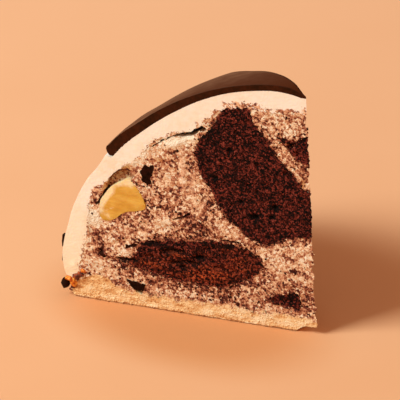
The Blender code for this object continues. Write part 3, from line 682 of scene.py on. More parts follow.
def coat_profile():
    """Down the bed of the glaze, over the ledge, down the side, under the foot and back up inside."""
    rim = GLAZE_RIM_ANGLE
    under_glaze = spaced(TOP_ANGLE, rim + LEDGE_ABOVE, GLAZE_STEP)
    bed = [polar(a, dome_reach(a) - glaze_depth(a) + OVERLAP) for a in under_glaze]
    ledge = [polar(rim - below, dome_reach(rim) - depth) for below, depth in GLAZE_LEDGE]
    down_side = spaced(rim - LEDGE_BELOW, SIDE_END, WALL_STEP)
    side = [polar(a, dome_reach(a) + bump(a, CREAM_DIP)) for a in down_side]
    seat = [(r, base_top(r) - OVERLAP) for r in spaced(*SEAT_RADII, FLAT_STEP)]
    inner = [polar(a, dome_reach(a) - coat_depth(a)) for a in spaced(FOOT_ANGLE, TOP_ANGLE, WALL_STEP)]
    return bed + ledge + side + list(COAT_FOOT) + seat + inner


def glaze_profile():
    rim = GLAZE_RIM_ANGLE
    down = spaced(TOP_ANGLE, rim + NOSE_ABOVE, GLAZE_STEP)
    outer = [polar(a, dome_reach(a) + bump(a, GLAZE_BEAD)) for a in down]
    nose = [polar(rim + above, dome_reach(rim) + lift) for above, lift in GLAZE_NOSE]
    back_up = spaced(rim + NOSE_WITHIN, TOP_ANGLE, GLAZE_STEP)
    return outer + nose + [polar(a, dome_reach(a) - glaze_depth(a)) for a in back_up]


def filling_profile():
    down = spaced(TOP_ANGLE, FOOT_ANGLE, WALL_STEP)
    outer = [polar(a, dome_reach(a) - coat_depth(a) + OVERLAP) for a in down]
    return outer + [(r, base_top(r) - OVERLAP) for r in spaced(SEAT_RADII[1], 0.0, FLAT_STEP)]


def base_profile():
    top = [(r, base_top(r)) for r in spaced(0.0, BASE_RADIUS - EDGE_WITHIN, FLAT_STEP)]
    edge = [(BASE_RADIUS + beyond, height) for beyond, height in BASE_EDGE]
    underside = spaced(BASE_RADIUS - EDGE_UNDER, 0.0, UNDERSIDE_STEP)
    return top + edge + [(r, base_bottom(r)) for r in underside]


whole = {
    "cream": turned("whipped_cream_coat", coat_profile()),
    "glaze": turned("poured_glaze", glaze_profile()),
    "filling": turned("marbled_filling", filling_profile()),
    "base": turned("pale_sponge_round", base_profile()),
}
draw_back_rim(whole["cream"])
draw_back_rim(whole["glaze"])
thin_tip(whole["glaze"])
settle(whole["cream"], marks=1.0)
settle(whole["glaze"])
settle(whole["filling"])
settle(whole["base"])
for name, layer in whole.items():
    print(name, "round:", measures(layer))

# %% [markdown]
# Each layer is cut to the slice by a pair of blocks. The pale sponge rests on a flat patch and its thin
# edges curl up a little from the table, so three slanted blocks trim its underside. A block's axes must
# form a right-handed set, or the block is inside out and the cut fails. The filling is copied before its
# own cut, once for each kind of cut, because the copies give the lumps in it their cut faces.

# %% Cut the slice and trim the underside of its base
REST_PATCH = [(39.0, 0.0), (-38.0, 27.0), (-38.0, -27.0)]
EDGE_RISE = 5.0


def soften_lower_edge(base):
    corners = [Vector((x, y, 0)) * MM for x, y in REST_PATCH]
    size = 2 * BLOCK_REACH * MM
    half = size / 2
    rise = math.radians(EDGE_RISE)
    for i, corner in enumerate(corners):
        out = (corners[i - 1] - corner).normalized().cross(Vector((0, 0, 1)))
        if out.dot(corner) < 0:
            out.negate()
        up_slope = out * math.cos(rise) + Vector((0, 0, math.sin(rise)))
        off_slope = Vector((0, 0, math.cos(rise))) - out * math.sin(rise)
        along = up_slope.cross(off_slope)
        bm = bmesh.new()
        bmesh.ops.create_cube(bm, size=size)
        for vert in bm.verts:
            side, outwards, upwards = vert.co
            vert.co = corner + along * side + up_slope * (outwards + half) + off_slope * (upwards - half)
        block = bmesh_object(f"underside_block_{i}", bm)
        boolean(base, block, "DIFFERENCE")
        discard(block)


cut_slice(whole["cream"], "clean")
cut_slice(whole["glaze"], "clean")
cut_slice(whole["base"], "base")
soften_lower_edge(whole["base"])
CORE_KINDS = ("sponge", "wet", "clean", "torn")
cores = {kind: linked(kind + "_core", whole["filling"].data.copy()) for kind in CORE_KINDS}
for kind, core in cores.items():
    cut_slice(core, kind)
cut_slice(whole["filling"], "torn")
for name, layer in whole.items():
    print(name, "slice:", measures(layer))

# %% [markdown]
# ## What lies in the filling
#
# Torn lumps of chocolate sponge run through the slice, and pieces of fruit and chocolate are cut by one
# face only. Each outline is a smooth curve through a few corners, roughened by noise at the scale of
# crumb. A loft joins rings of the outline, the core trims the loft with its own kind of cut, and the
# filling loses a pocket of the same shape.

# %% Draw outlines and loft them
SPONGE_LARGE = [
    (42.0, 72.0), (35.0, 81.0), (31.0, 88.0), (22.0, 92.0), (18.5, 83.0), (14.5, 78.5), (11.0, 72.5),
    (5.5, 66.0), (1.0, 60.0), (-6.0, 56.0), (-6.0, 42.5), (7.5, 38.2), (15.0, 34.6), (20.5, 35.0),
    (26.6, 39.0), (32.0, 43.2), (35.2, 49.4), (38.8, 55.9), (42.2, 62.5),
]
SPONGE_LOWER = [
    (68.6, 26.2), (64.0, 29.0), (54.0, 30.6), (44.0, 32.0), (35.0, 32.8), (27.0, 32.4), (21.4, 30.0),
    (18.2, 26.2), (20.0, 21.7), (24.7, 18.2), (34.0, 14.0), (43.5, 13.0), (55.0, 13.5), (66.0, 15.8),
    (73.0, 17.0), (76.6, 18.3), (71.8, 20.5), (69.4, 23.6),
]
SPONGE_TIP_TOP = [
    (9.6, 78.8), (5.2, 79.2), (3.0, 78.4), (0.8, 80.2), (-6.0, 81.0), (-6.0, 69.0), (1.0, 70.2),
    (4.8, 73.2), (7.4, 76.0),
]
SPONGE_TIP_LOW = [
    (17.3, 11.8), (13.2, 14.4), (8.8, 15.4), (4.8, 16.0), (3.6, 13.0), (4.2, 9.6), (7.0, 9.6), (12.0, 10.4),
]
FRUIT = [
    (83.0, 42.1), (83.5, 36.4), (81.0, 34.5), (77.4, 35.8), (73.0, 39.2), (65.2, 41.4), (65.0, 45.0),
    (66.6, 48.4), (70.2, 53.2), (74.2, 51.5), (78.1, 49.0), (80.9, 45.6),
]
CHIP_TALL = [
    (65.9, 57.0), (63.7, 60.6), (62.2, 59.5), (60.1, 60.6), (60.5, 57.4), (61.7, 52.8), (63.0, 51.4),
    (64.8, 53.0), (65.3, 55.8),
]
CHIP_LOW = [(74.5, 11.0), (72.0, 10.5), (69.6, 10.2), (66.6, 9.6), (68.4, 5.0), (70.6, 6.0), (72.9, 8.6)]
CHIP_LEFT = [(73.9, 25.9), (71.9, 25.8), (68.5, 27.2), (69.2, 25.8), (72.0, 24.5), (73.9, 23.6)]
CHIP_RIM = [(85.4, 22.2), (84.0, 21.3), (81.6, 19.4), (82.6, 18.5), (85.3, 19.7), (84.6, 20.7)]
FAR_SPONGE = [
    (82.5, 31.5), (80.0, 40.0), (73.5, 46.5), (66.0, 47.5), (62.0, 42.0), (63.5, 35.0), (70.0, 30.5),
    (77.5, 28.0),
]
FAR_FRUIT = [
    (62.5, 66.5), (57.0, 71.0), (50.5, 70.5), (47.5, 64.0), (51.0, 58.5), (57.5, 57.5), (61.5, 60.0),
]
FAR_CHIP_HIGH = [(71.0, 52.5), (67.5, 56.0), (64.5, 54.0), (66.5, 50.8), (69.5, 50.3)]
FAR_CHIP_MID = [(52.5, 45.5), (49.0, 49.5), (45.8, 48.0), (47.5, 43.5), (50.5, 42.5)]
FAR_CHIP_LOW = [(83.5, 19.5), (79.5, 21.5), (77.5, 17.5), (80.0, 15.2), (83.0, 16.2)]
THROUGH_LAYERS = (45.0, -0.4, 9.0)
SHALLOW_OVERHANG = 4.0
SHALLOW_ROUNDING = ((0.0, 1.0), (0.25, 1.0), (0.45, 0.98), (0.65, 0.93), (0.85, 0.84), (1.0, 0.55))
OUTLINE_SPACING, SHALLOW_SPACING = 0.8, 0.6
TORN_SIZE, FRAY_SIZE, FRAY_SHARE = 2.4, 0.9, 0.3


def straight(corners, spacing):
    """The closed outline with straight edges, as points about spacing apart."""
    points = []
    for first, second in zip(corners, corners[1:] + corners[:1]):
        first, second = Vector(first), Vector(second)
        steps = max(1, round((second - first).length / spacing))
        points.extend(first.lerp(second, step / steps) for step in range(steps))
    return points


def curved(corners, spacing):
    """A closed smooth curve through the corners, as points about spacing apart."""
    count = len(corners)
    points = []
    for i in range(count):
        p0, p1, p2, p3 = (Vector(corners[(i + k) % count]) for k in (-1, 0, 1, 2))
        steps = max(1, round((p2 - p1).length / spacing))
        for step in range(steps):
            t = step / steps
            points.append(
                0.5 * (2 * p1 + (p2 - p0) * t + (2 * p0 - 5 * p1 + 4 * p2 - p3) * t * t
                       + (3 * p1 - p0 - 3 * p2 + p3) * t ** 3)
            )
    return points


def torn_outline(corners, roughness, spacing=OUTLINE_SPACING, grow=0.0, drawn=curved):
    """The outline roughened by noise, and moved outwards by grow."""
    points = drawn(corners, spacing)
    area = sum(a.x * b.y - b.x * a.y for a, b in zip(points, points[1:] + points[:1]))
    turn = 1 if area > 0 else -1
    moved = []
    for i, point in enumerate(points):
        run = (points[(i + 2) % len(points)] - points[i - 2]).normalized()
        shake = ragged(point.x + 31, point.y, TORN_SIZE, roughness)
        shake += ragged(point.x, point.y + 17, FRAY_SIZE, FRAY_SHARE * roughness)
        moved.append(point + Vector((run.y, -run.x)) * (grow + shake) * turn)
    return moved


def changed(outline, scale=1.0, turn=0.0, shift=(0.0, 0.0)):
    """The outline scaled and turned about its middle, then shifted."""
    middle = sum(outline, Vector((0, 0))) / len(outline)
    spin = Matrix.Rotation(math.radians(turn), 2)
    return [middle + Vector(shift) + spin @ ((point - middle) * scale) for point in outline]


def loft(name, rings):
    """A closed skin over rings of equally many points."""
    bm = bmesh.new()
    rows = [[bm.verts.new(point) for point in ring] for ring in rings]
    count = len(rows[0])
    for low, high in zip(rows, rows[1:]):
        for i in range(count):
            j = (i + 1) % count
            bm.faces.new((low[i], low[j], high[j], high[i]))
    bm.faces.new(rows[0])
    bm.faces.new(rows[-1])
    face_outwards(bm)
    bmesh.ops.triangulate(bm, faces=bm.faces)
    return bmesh_object(name, bm)


def through_rings(corners, roughness, grow, far):
    """Rings from beyond the near face to beyond the far one. far says how the outline changes."""
    lean = math.cos(math.radians(HALF_ANGLE))
    near_outline = torn_outline(corners, roughness, grow=grow)
    far_outline = changed(near_outline, **far)
    beyond, middle, far_start = THROUGH_LAYERS
    layers = (
        (-beyond, near_outline), (middle, near_outline), (far_start, far_outline), (beyond, far_outline),
    )
    return [[Vector((AXIS_X - u * lean, y, v)) * MM for u, v in outline] for y, outline in layers]


def shallow_rings(corners, roughness, grow, side, depth, drawn=curved, rounding=SHALLOW_ROUNDING):
    """Rings of a piece that shows on one face and ends, rounded, depth behind it."""
    outline = torn_outline(corners, roughness, SHALLOW_SPACING, grow, drawn)
    layers = [(-SHALLOW_OVERHANG, 1.0)]
    layers += [(share * (depth + grow), size) for share, size in rounding]
    place = FACES[side]
    return [
        [place @ Vector((*point, -below)) for point in changed(outline, scale=size)] for below, size in layers
    ]


print("the large sponge's outline has", len(torn_outline(SPONGE_LARGE, 0.5)), "points")

# %% [markdown]
# The chips are hard and have clean edges, the fruit's skin is smooth, and the sponge is ragged. Sponge
# that runs through says how its outline changes on the way to the far face. Every other lump says its
# face, its depth in millimetres, its kind of cut and how rough its outline is.

# %% Set the lumps into the filling
THROUGH_ROUGHNESS = 0.8
THROUGH = {
    "chocolate_sponge_large": (SPONGE_LARGE, {"scale": 0.84, "turn": -9, "shift": (5.0, -5.0)}),
    "chocolate_sponge_lower": (SPONGE_LOWER, {"scale": 0.82, "turn": 7, "shift": (-8.0, 1.5)}),
    "chocolate_sponge_at_tip": (SPONGE_TIP_TOP, {"scale": 0.9, "turn": 4, "shift": (1.0, 0.5)}),
    "chocolate_sponge_scrap": (SPONGE_TIP_LOW, {"scale": 0.95, "turn": -6, "shift": (3.0, 1.0)}),
}
SHALLOW = {
    "chocolate_sponge_far_side": (FAR_SPONGE, FAR, 15.0, "sponge", 0.7),
    "fruit_piece": (FRUIT, NEAR, 14.0, "wet", 0.18),
    "fruit_piece_far_side": (FAR_FRUIT, FAR, 12.0, "wet", 0.18),
    "chocolate_chip_tall": (CHIP_TALL, NEAR, 6.0, "torn", 0.7),
    "chocolate_chip_left": (CHIP_LEFT, NEAR, 5.0, "torn", 0.6),
    "chocolate_chip_near_rim": (CHIP_RIM, NEAR, 5.0, "torn", 0.7),
    "chocolate_chip_on_base": (CHIP_LOW, NEAR, 5.0, "clean", 0.2),
    "chocolate_chip_far_high": (FAR_CHIP_HIGH, FAR, 6.0, "clean", 0.25),
    "chocolate_chip_far_middle": (FAR_CHIP_MID, FAR, 6.0, "torn", 0.6),
    "chocolate_chip_far_low": (FAR_CHIP_LOW, FAR, 5.0, "torn", 0.6),
}
filling = whole["filling"]
lumps = {}


def embed(name, rings_for, kind):
    """Makes a lump with its own kind of cut, and its pocket. rings_for takes how far the rings grow."""
    piece = loft(name, rings_for(0.0))
    boolean(piece, cores[kind], "INTERSECT")
    pocket = loft(name + "_pocket", rings_for(-OVERLAP))
    hosts = (filling, whole["base"]) if "on_base" in name else (filling,)
    for host in hosts:
        boolean(host, pocket, "DIFFERENCE")
    discard(pocket)
    lumps[name] = piece


for name, (corners, far) in THROUGH.items():
    embed(name, lambda grow: through_rings(corners, THROUGH_ROUGHNESS, grow, far), "sponge")
for name, (corners, side, depth, kind, roughness) in SHALLOW.items():
    drawn = straight if "chip" in name else curved
    embed(name, lambda grow: shallow_rings(corners, roughness, grow, side, depth, drawn), kind)
for name, lump in lumps.items():
    print(name, measures(lump))
print("filling:", len(filling.data.polygons), "faces")

# %% [markdown]
# Spooned filling never packs tight. The photo shows a hollow above the fruit with a slit beside it, a
# long crack under the cream, gaps beside and above the lower sponge, and a small tear. They are real
# cavities here, because only a hole gives a true shadow. Each has an outline and a depth.

# %% Hollow out the gaps
HOLLOWS = {
    "hollow_over_fruit": ([
        (81.9, 44.6), (80.7, 47.4), (79.6, 50.2), (78.2, 53.0), (75.5, 55.8), (72.6, 57.3), (70.0, 56.6),
        (68.2, 54.8), (69.6, 53.2), (73.6, 51.0), (77.4, 48.6), (79.4, 46.0), (81.0, 43.6),
    ], 2.2),
    "slit_beside_fruit": ([
        (85.2, 41.0), (83.2, 43.4), (81.6, 46.2), (79.8, 49.0), (79.0, 48.6), (80.4, 46.0), (82.0, 43.0),
        (83.0, 41.0),
    ], 4.0),
    "crack_under_cream": ([
        (60.6, 67.9), (54.6, 72.6), (49.6, 74.9), (44.6, 76.6), (42.4, 78.2), (39.6, 79.3), (37.8, 78.1),
        (41.2, 76.6), (43.8, 74.9), (47.2, 73.9), (51.4, 73.2), (55.4, 71.2),
    ], 7.0),
    "gap_beside_sponge": ([
        (78.4, 19.6), (75.0, 20.3), (72.2, 20.2), (69.8, 19.2), (70.2, 18.0), (73.6, 17.8), (76.8, 18.5),
    ], 3.0),
    "tear": ([(54.2, 39.2), (50.0, 41.0), (46.9, 43.0), (46.6, 42.3), (50.0, 40.2), (53.8, 38.5)], 2.5),
    "gap_over_sponge": ([
        (34.8, 33.6), (31.0, 34.0), (27.0, 33.7), (27.0, 32.9), (31.0, 32.9), (34.8, 32.7),
    ], 2.2),
}
HOLLOW_ROUNDING = ((0.0, 1.0), (0.3, 0.99), (0.7, 0.97), (1.0, 0.93))
HOLLOW_ROUGHNESS = 0.4
for name, (corners, depth) in HOLLOWS.items():
    rings = shallow_rings(corners, HOLLOW_ROUGHNESS, 0.0, NEAR, depth, rounding=HOLLOW_ROUNDING)
    cutter = loft(name, rings)
    for body in (filling, whole["cream"]):
        boolean(body, cutter, "DIFFERENCE")
    discard(cutter)
print("filling with", len(HOLLOWS), "hollows:", len(filling.data.polygons), "faces")

# %% [markdown]
# ## Where the cocoa went
#
# The filling is cream with crumbled chocolate sponge stirred through it, in swirls and patches. The
# finish needs to know where it is browner, where it is nearly white, where cream was drawn out smooth,
# where fruit syrup has coloured it, which round the hollow is also painted shade, and where it lies
# deep in a gap, which gets painted shade. Soft patches on the cut face, each with a place, a size, a
# lean and a strength, are summed into a number for every vertex. The material reads these numbers and
# breaks them up into grains.

# %% Write patches on the cut faces into attributes
NEAR_COCOA = [
    # nearly white, where cream was spooned in
    (49.8, 71.6, 6.8, 1.7, -20, -2.0), (58.5, 66.5, 5.0, 3.0, -30, -0.45), (67.0, 62.2, 5.0, 2.2, -35, -0.5),
    (48.6, 62.0, 1.6, 9.0, 0, -0.4), (44.6, 53.0, 2.6, 7.5, 20, -0.4), (34.2, 40.6, 5.4, 2.7, 30, -0.65),
    (58.2, 36.4, 4.4, 2.6, 0, -0.55), (28.0, 36.9, 4.5, 1.7, 25, -0.4), (73.6, 21.9, 2.6, 1.8, 30, -0.9),
    (76.6, 22.6, 3.2, 1.5, 10, -0.5), (84.5, 14.0, 3.2, 1.6, 0, -0.45), (13.0, 30.5, 8.0, 4.5, 0, -0.45),
    (2.5, 35.0, 5.0, 3.5, 0, -0.35), (14.0, 24.0, 4.0, 3.0, 0, -0.3), (37.4, 76.6, 1.8, 1.8, 0, -0.6),
    (4.6, 81.0, 2.6, 1.6, 0, -0.75), (7.6, 71.0, 1.2, 9.5, 40, -0.5), (39.5, 80.3, 3.6, 0.9, -25, -0.5),
    (80.0, 40.0, 1.2, 5.0, 10, -0.3), (66.0, 30.0, 3.5, 1.4, 10, -0.3), (50.0, 8.8, 6.0, 0.8, 0, -0.3),
    (83.0, 48.5, 2.0, 3.0, 20, -0.7), (84.6, 36.0, 2.2, 4.0, 8, -0.6), (82.6, 31.5, 2.0, 2.0, 0, -0.35),
    (70.6, 58.6, 3.0, 1.6, -40, -0.35), (62.0, 49.0, 2.0, 3.0, 0, -0.3), (52.5, 55.5, 1.4, 4.0, 0, -0.25),
    (88.5, 16.0, 2.0, 2.4, 0, -0.35), (79.0, 26.0, 2.4, 1.2, 0, -0.4), (30.0, 35.6, 3.0, 0.9, 0, -0.3),
    (89.2, 38.0, 2.2, 9.0, 8, -1.6), (86.4, 34.6, 2.8, 3.4, 8, -1.4), (83.6, 50.2, 2.6, 2.4, 40, -1.1),
    (55.6, 57.2, 4.0, 3.0, 0, -0.55), (58.0, 36.3, 4.0, 2.4, 0, -0.3), (85.8, 16.8, 3.0, 2.2, 0, -0.5),
    (8.0, 86.0, 6.0, 3.0, 0, -0.4), (74.8, 31.2, 3.0, 2.0, 0, -0.4), (44.0, 54.0, 3.0, 4.0, 0, 0.15),
    # browner, where crumb lies thick
    (4.5, 87.0, 5.5, 2.2, 0, 0.55), (14.5, 86.0, 4.5, 2.2, 10, 0.45), (52.6, 67.3, 1.9, 1.5, 20, 0.8),
    (58.5, 57.5, 2.6, 3.2, 0, 0.4), (55.5, 47.5, 7.0, 4.0, -20, 0.18), (53.0, 42.2, 8.0, 1.5, 12, 0.45),
    (44.6, 37.2, 5.2, 3.4, 10, 0.84), (50.5, 34.5, 4.0, 2.2, 0, 0.35), (38.2, 47.8, 2.0, 1.8, 0, 0.9),
    (38.2, 43.6, 3.0, 2.0, 0, 0.5), (67.0, 41.0, 3.6, 1.1, 15, 0.6), (64.0, 46.0, 1.2, 2.2, 0, 0.35),
    (73.0, 36.2, 3.4, 1.8, 30, 0.4), (85.3, 45.2, 1.2, 4.0, 8, 0.75), (85.6, 41.2, 1.2, 1.2, 0, 0.6),
    (86.3, 27.4, 2.4, 2.4, 0, 0.65), (83.6, 21.6, 3.0, 1.3, -15, 0.9), (87.5, 19.8, 2.0, 1.2, 0, 0.5),
    (51.0, 31.2, 7.0, 0.8, 0, 0.5), (74.0, 16.5, 6.0, 1.3, -12, 0.5), (62.0, 12.0, 8.0, 1.2, 0, 0.5),
    (40.0, 11.4, 10.0, 1.6, 0, 0.5), (23.0, 17.0, 3.0, 2.4, 35, 0.55), (13.0, 18.6, 5.0, 1.6, 0, 0.35),
    (6.2, 24.8, 1.5, 1.2, 0, 0.8), (9.2, 31.2, 1.5, 1.1, 0, 0.6), (3.4, 28.0, 1.1, 1.1, 0, 0.6),
    (17.0, 34.4, 4.0, 1.1, 10, 0.55), (20.0, 26.0, 1.3, 3.0, 0, 0.4), (2.2, 12.4, 1.5, 2.6, 0, 0.3),
    (36.0, 81.5, 3.2, 1.3, -40, 0.5), (45.5, 61.5, 1.1, 5.5, -6, 0.35), (50.8, 60.0, 0.9, 8.0, 0, 0.35),
    (79.0, 30.5, 4.0, 2.4, 0, 0.2), (28.0, 7.6, 3.0, 1.0, 0, 0.6), (34.0, 9.6, 2.5, 0.9, 0, 0.5),
    (84.6, 43.6, 1.6, 3.4, 12, 1.3), (73.6, 55.6, 4.5, 1.8, -25, 0.7), (34.6, 41.0, 4.0, 2.0, 30, 0.5),
    (5.0, 36.0, 4.0, 2.4, 0, 0.3), (45.0, 10.3, 8.0, 1.6, 0, 0.1), (64.4, 43.5, 1.0, 3.4, 10, 0.5),
]
FAR_COCOA = [
    (30.0, 30.0, 6.0, 3.0, 20, -0.5), (60.0, 52.0, 4.0, 3.5, -20, -0.5), (45.0, 57.0, 2.2, 6.0, 10, -0.5),
    (74.0, 56.0, 4.0, 2.0, -35, -0.6), (52.0, 76.0, 5.0, 1.6, -25, -0.7), (86.0, 35.0, 2.2, 4.0, 0, -0.4),
    (14.0, 30.0, 6.0, 4.0, 0, -0.4), (58.0, 34.0, 4.0, 3.0, 0, -0.5), (70.0, 25.0, 5.0, 1.5, 10, -0.5),
    (10.0, 85.0, 7.0, 2.5, 0, 0.5), (42.0, 74.0, 4.0, 2.0, -30, 0.5), (55.0, 48.0, 5.0, 3.0, 0, 0.4),
    (74.0, 50.0, 3.5, 1.6, 20, 0.5), (84.0, 27.0, 2.0, 4.0, 5, 0.6), (45.0, 35.0, 7.0, 2.0, 10, 0.5),
    (60.0, 12.5, 9.0, 1.4, 0, 0.4), (22.0, 24.0, 3.0, 4.0, 0, 0.4), (6.0, 22.0, 3.0, 2.0, 0, 0.5),
]
NEAR_SMOOTH = [
    (48.3, 62.0, 1.1, 8.0, -3, 0.75), (45.4, 53.0, 0.9, 5.0, 8, 0.5), (42.0, 46.6, 0.9, 4.0, 30, 0.5),
    (72.6, 22.4, 1.6, 1.2, 0, 0.5), (60.0, 66.5, 3.0, 1.0, -35, 0.4),
]
# Syrup stains. The patches over the hollow and the slit beside the fruit are also painted shade.
NEAR_SYRUP_AND_HOLLOW_SHADE = [
    (57.2, 63.0, 2.6, 1.3, -20, 0.9), (74.0, 55.0, 5.5, 2.4, -38, 1.0), (80.5, 48.5, 1.6, 3.4, 15, 0.9),
    (71.0, 58.0, 2.2, 1.4, 0, 0.6), (60.5, 68.5, 3.0, 1.2, -30, 0.5), (59.0, 36.5, 4.0, 2.0, 0, 0.35),
    (86.5, 15.0, 2.6, 1.6, 0, 0.5), (82.0, 12.2, 6.0, 1.0, 0, 0.4), (70.0, 50.2, 6.0, 1.0, 0, 0.2),
    (1.2, 62.0, 1.4, 3.0, 0, 0.9), (20.5, 4.5, 7.0, 2.2, 0, 0.3), (77.0, 44.0, 7.5, 9.5, 0, 0.25),
]
FAR_SYRUP = [(55.0, 64.0, 9.0, 8.5, 0, 0.3), (60.0, 72.0, 3.0, 1.4, -30, 0.6), (40.0, 40.0, 3.0, 2.0, 0, 0.4)]
CUT_DEPTH, CUT_FADE = 1.6, 0.4  # a place this far behind the face still belongs to the cut
SHED_REACH, LARGE_SHED_REACH, SHED_COCOA = 1.3, 0.7, 0.55
BORDER_CREAM, BORDER_REACH, BORDER_DRIFT = 0.8, 1.8, (3.2, 1.0)
# Painted shade: the filling is darkened from this depth behind the cut face, inside the gaps.
GAP_SHADE_DEPTH, GAP_SHADE_FADE = 1.7, 1.4


def face_places(obj):
    """For each vertex: which face is nearer, its u and v there, and its depth behind that face."""
    places = read_places(obj.data)
    side = np.where(places[:, 1] < 0, NEAR, FAR)
    local = np.empty_like(places)
    for this in (NEAR, FAR):
        back = np.array(FACES[this].inverted())
        chosen = side == this
        local[chosen] = places[chosen] @ back[:3, :3].T + back[:3, 3]
    return side, local[:, 0], local[:, 1], -local[:, 2]


def write_attribute(obj, name, values):
    layer = obj.data.attributes.new(name, "FLOAT", "POINT")
    layer.data.foreach_set("value", np.asarray(values, dtype=np.float32))


def on_face(depth):
    """1 on the cut itself, 0 deeper in."""
    return np.clip((CUT_DEPTH - depth) / CUT_FADE, 0, 1)


def write_patches(obj, name, near, far):
    side, u, v, _ = face_places(obj)
    write_attribute(obj, name, np.where(side == NEAR, patch_sum(u, v, near), patch_sum(u, v, far)))


def apart_from(u, v, outline):
    """Distance from each place to the nearest point of an outline."""
    points = np.array([tuple(point) for point in outline])
    return np.hypot(u[:, None] - points[None, :, 0], v[:, None] - points[None, :, 1]).min(axis=1)


def shed(u, v, this):
    """How thick the crumbs lie that the lumps of sponge shed around them on a face."""
    total = np.zeros_like(u)
    for name, (corners, far) in THROUGH.items():
        outline = curved(corners, OUTLINE_SPACING)
        if this == FAR:
            outline = changed(outline, **far)
        reach = LARGE_SHED_REACH if "large" in name else SHED_REACH
        total += np.exp(-apart_from(u, v, outline) / reach)
    return np.clip(total, 0, 1)


def behind_border(u, v):
    """How far each place lies outside the border between filling and coat; less than 0 in the filling."""
    beyond = []
    for radius, height in zip(u, v):
        angle = math.degrees(math.atan2(height - WIDEST_HEIGHT, radius))
        below = dome_reach(angle) - math.hypot(radius, height - WIDEST_HEIGHT)
        beyond.append(coat_depth(max(angle, FOOT_ANGLE)) - below)
    return np.array(beyond)


def drift(u, v, size, height):
    return np.array([ragged(a, b, size, height) for a, b in zip(u, v)])


side, u, v, depth = face_places(filling)
shed_crumbs = np.where(side == NEAR, shed(u, v, NEAR), shed(u, v, FAR))
cocoa = np.where(side == NEAR, patch_sum(u, v, NEAR_COCOA), patch_sum(u, v, FAR_COCOA))
cocoa = cocoa + SHED_COCOA * shed_crumbs
near_border = np.exp(np.minimum(behind_border(u, v), 0) / BORDER_REACH)
cocoa -= near_border * (BORDER_CREAM + drift(u, v, *BORDER_DRIFT))
write_attribute(filling, "cocoa", cocoa)
# painted shade deep in the gaps
write_attribute(filling, "gap_shade", np.clip((depth - GAP_SHADE_DEPTH) / GAP_SHADE_FADE, 0, 1))
write_patches(filling, "syrup_and_hollow_shade", NEAR_SYRUP_AND_HOLLOW_SHADE, FAR_SYRUP)
write_patches(filling, "smooth", NEAR_SMOOTH, NEAR_SMOOTH)
print("cocoa runs from", round(float(cocoa.min()), 2), "to", round(float(cocoa.max()), 2))

# %% [markdown]
# In the cream the crumbs lie only near its inner side, where the spatula picked them up. How near a
# vertex is to that side follows from its depth below the dome. The rind, far behind the face, gets
# none. On the walls of gaps behind the face, the crumb colour is partly smear and partly painted
# shade. Two more numbers say how low on the coat a place is, where the cream is a shade warmer, and
# where syrup wets the wall of the hollow, a stain that also paints the hollow's shade.

# %% Mark the smeared inner side of the cream
NEAR_SMEAR = [
    (84.2, 46.5, 1.6, 2.0, 0, 0.9), (82.6, 47.8, 1.2, 1.4, 0, 0.6), (84.2, 42.2, 1.6, 1.8, 0, 0.9),
    (86.0, 44.5, 1.4, 3.6, 0, 0.5), (83.7, 36.1, 1.2, 1.0, 0, 0.6), (87.6, 33.2, 1.2, 1.2, 0, 0.6),
    (87.8, 28.5, 1.4, 1.5, 0, 0.8), (87.5, 24.5, 1.4, 1.6, 0, 0.6), (89.3, 19.0, 1.8, 2.0, 0, 0.5),
    (66.5, 62.0, 3.0, 1.2, -38, 0.25), (27.0, 90.6, 8.0, 1.7, 0, 0.95), (18.5, 92.4, 4.0, 1.6, 0, 0.95),
    (34.0, 86.0, 3.0, 1.2, 20, 0.5), (6.0, 90.0, 5.0, 1.0, 0, 0.5), (43.0, 81.0, 3.0, 1.2, 25, 0.4),
]
SMEAR_REACH, SMEAR_SHARE, SMEAR_DRIFT = 2.2, 0.48, (3.0, 0.3)
PATCH_START, PATCH_REACH = 1.6, 2.4
# Crumb colour on the walls of gaps behind the face: partly smear, partly painted shade.
GAP_SMEAR_AND_SHADE, GAP_DEPTH, GAP_BEHIND = 0.6, 0.5, 3.5
RIND_DEPTH = 9.0
LOW_HEIGHT, LOW_REACH = 50.0, 34.0
# Syrup on the hollow's walls behind the face, which is also painted shade there.
WET_AND_SHADED_HOLLOW, WET_AND_SHADED_DEPTH, WET_AND_SHADED_FADE = [(75.5, 52.5, 8.0, 4.0, -40, 1.4)], 0.4, 0.8


def write_smear(obj):
    side, u, v, depth = face_places(obj)
    patches = np.where(side == NEAR, patch_sum(u, v, NEAR_SMEAR), 0.0)
    behind = behind_border(u, v)
    smear = np.clip(1 - behind / SMEAR_REACH, 0, 1) * (SMEAR_SHARE + drift(u, v, *SMEAR_DRIFT))
    smear += np.clip(patches, 0, 1) * np.clip(PATCH_START - behind / PATCH_REACH, 0, 1)
    # gap walls: crumb smear and painted shade
    smear += np.clip(depth - GAP_DEPTH, 0, 1) * np.clip(GAP_BEHIND - behind, 0, 1) * GAP_SMEAR_AND_SHADE
    smear = smear * np.clip(RIND_DEPTH - depth, 0, 1)
    write_attribute(obj, "smear", smear)
    write_attribute(obj, "low", np.clip((LOW_HEIGHT - v) / LOW_REACH, 0, 1))
    # the hollow's walls: syrup stain and painted shade
    in_hollow = np.where(side == NEAR, patch_sum(u, v, WET_AND_SHADED_HOLLOW), 0.0)
    write_attribute(obj, "syrup_and_hollow_shade", np.clip(in_hollow, 0, 1) * np.clip((depth - WET_AND_SHADED_DEPTH) / WET_AND_SHADED_FADE, 0, 1))
    print("crumb smeared into", round(100 * float((smear > SMEAR_SHARE).mean())), "% of the cream's vertices")


write_smear(whole["cream"])
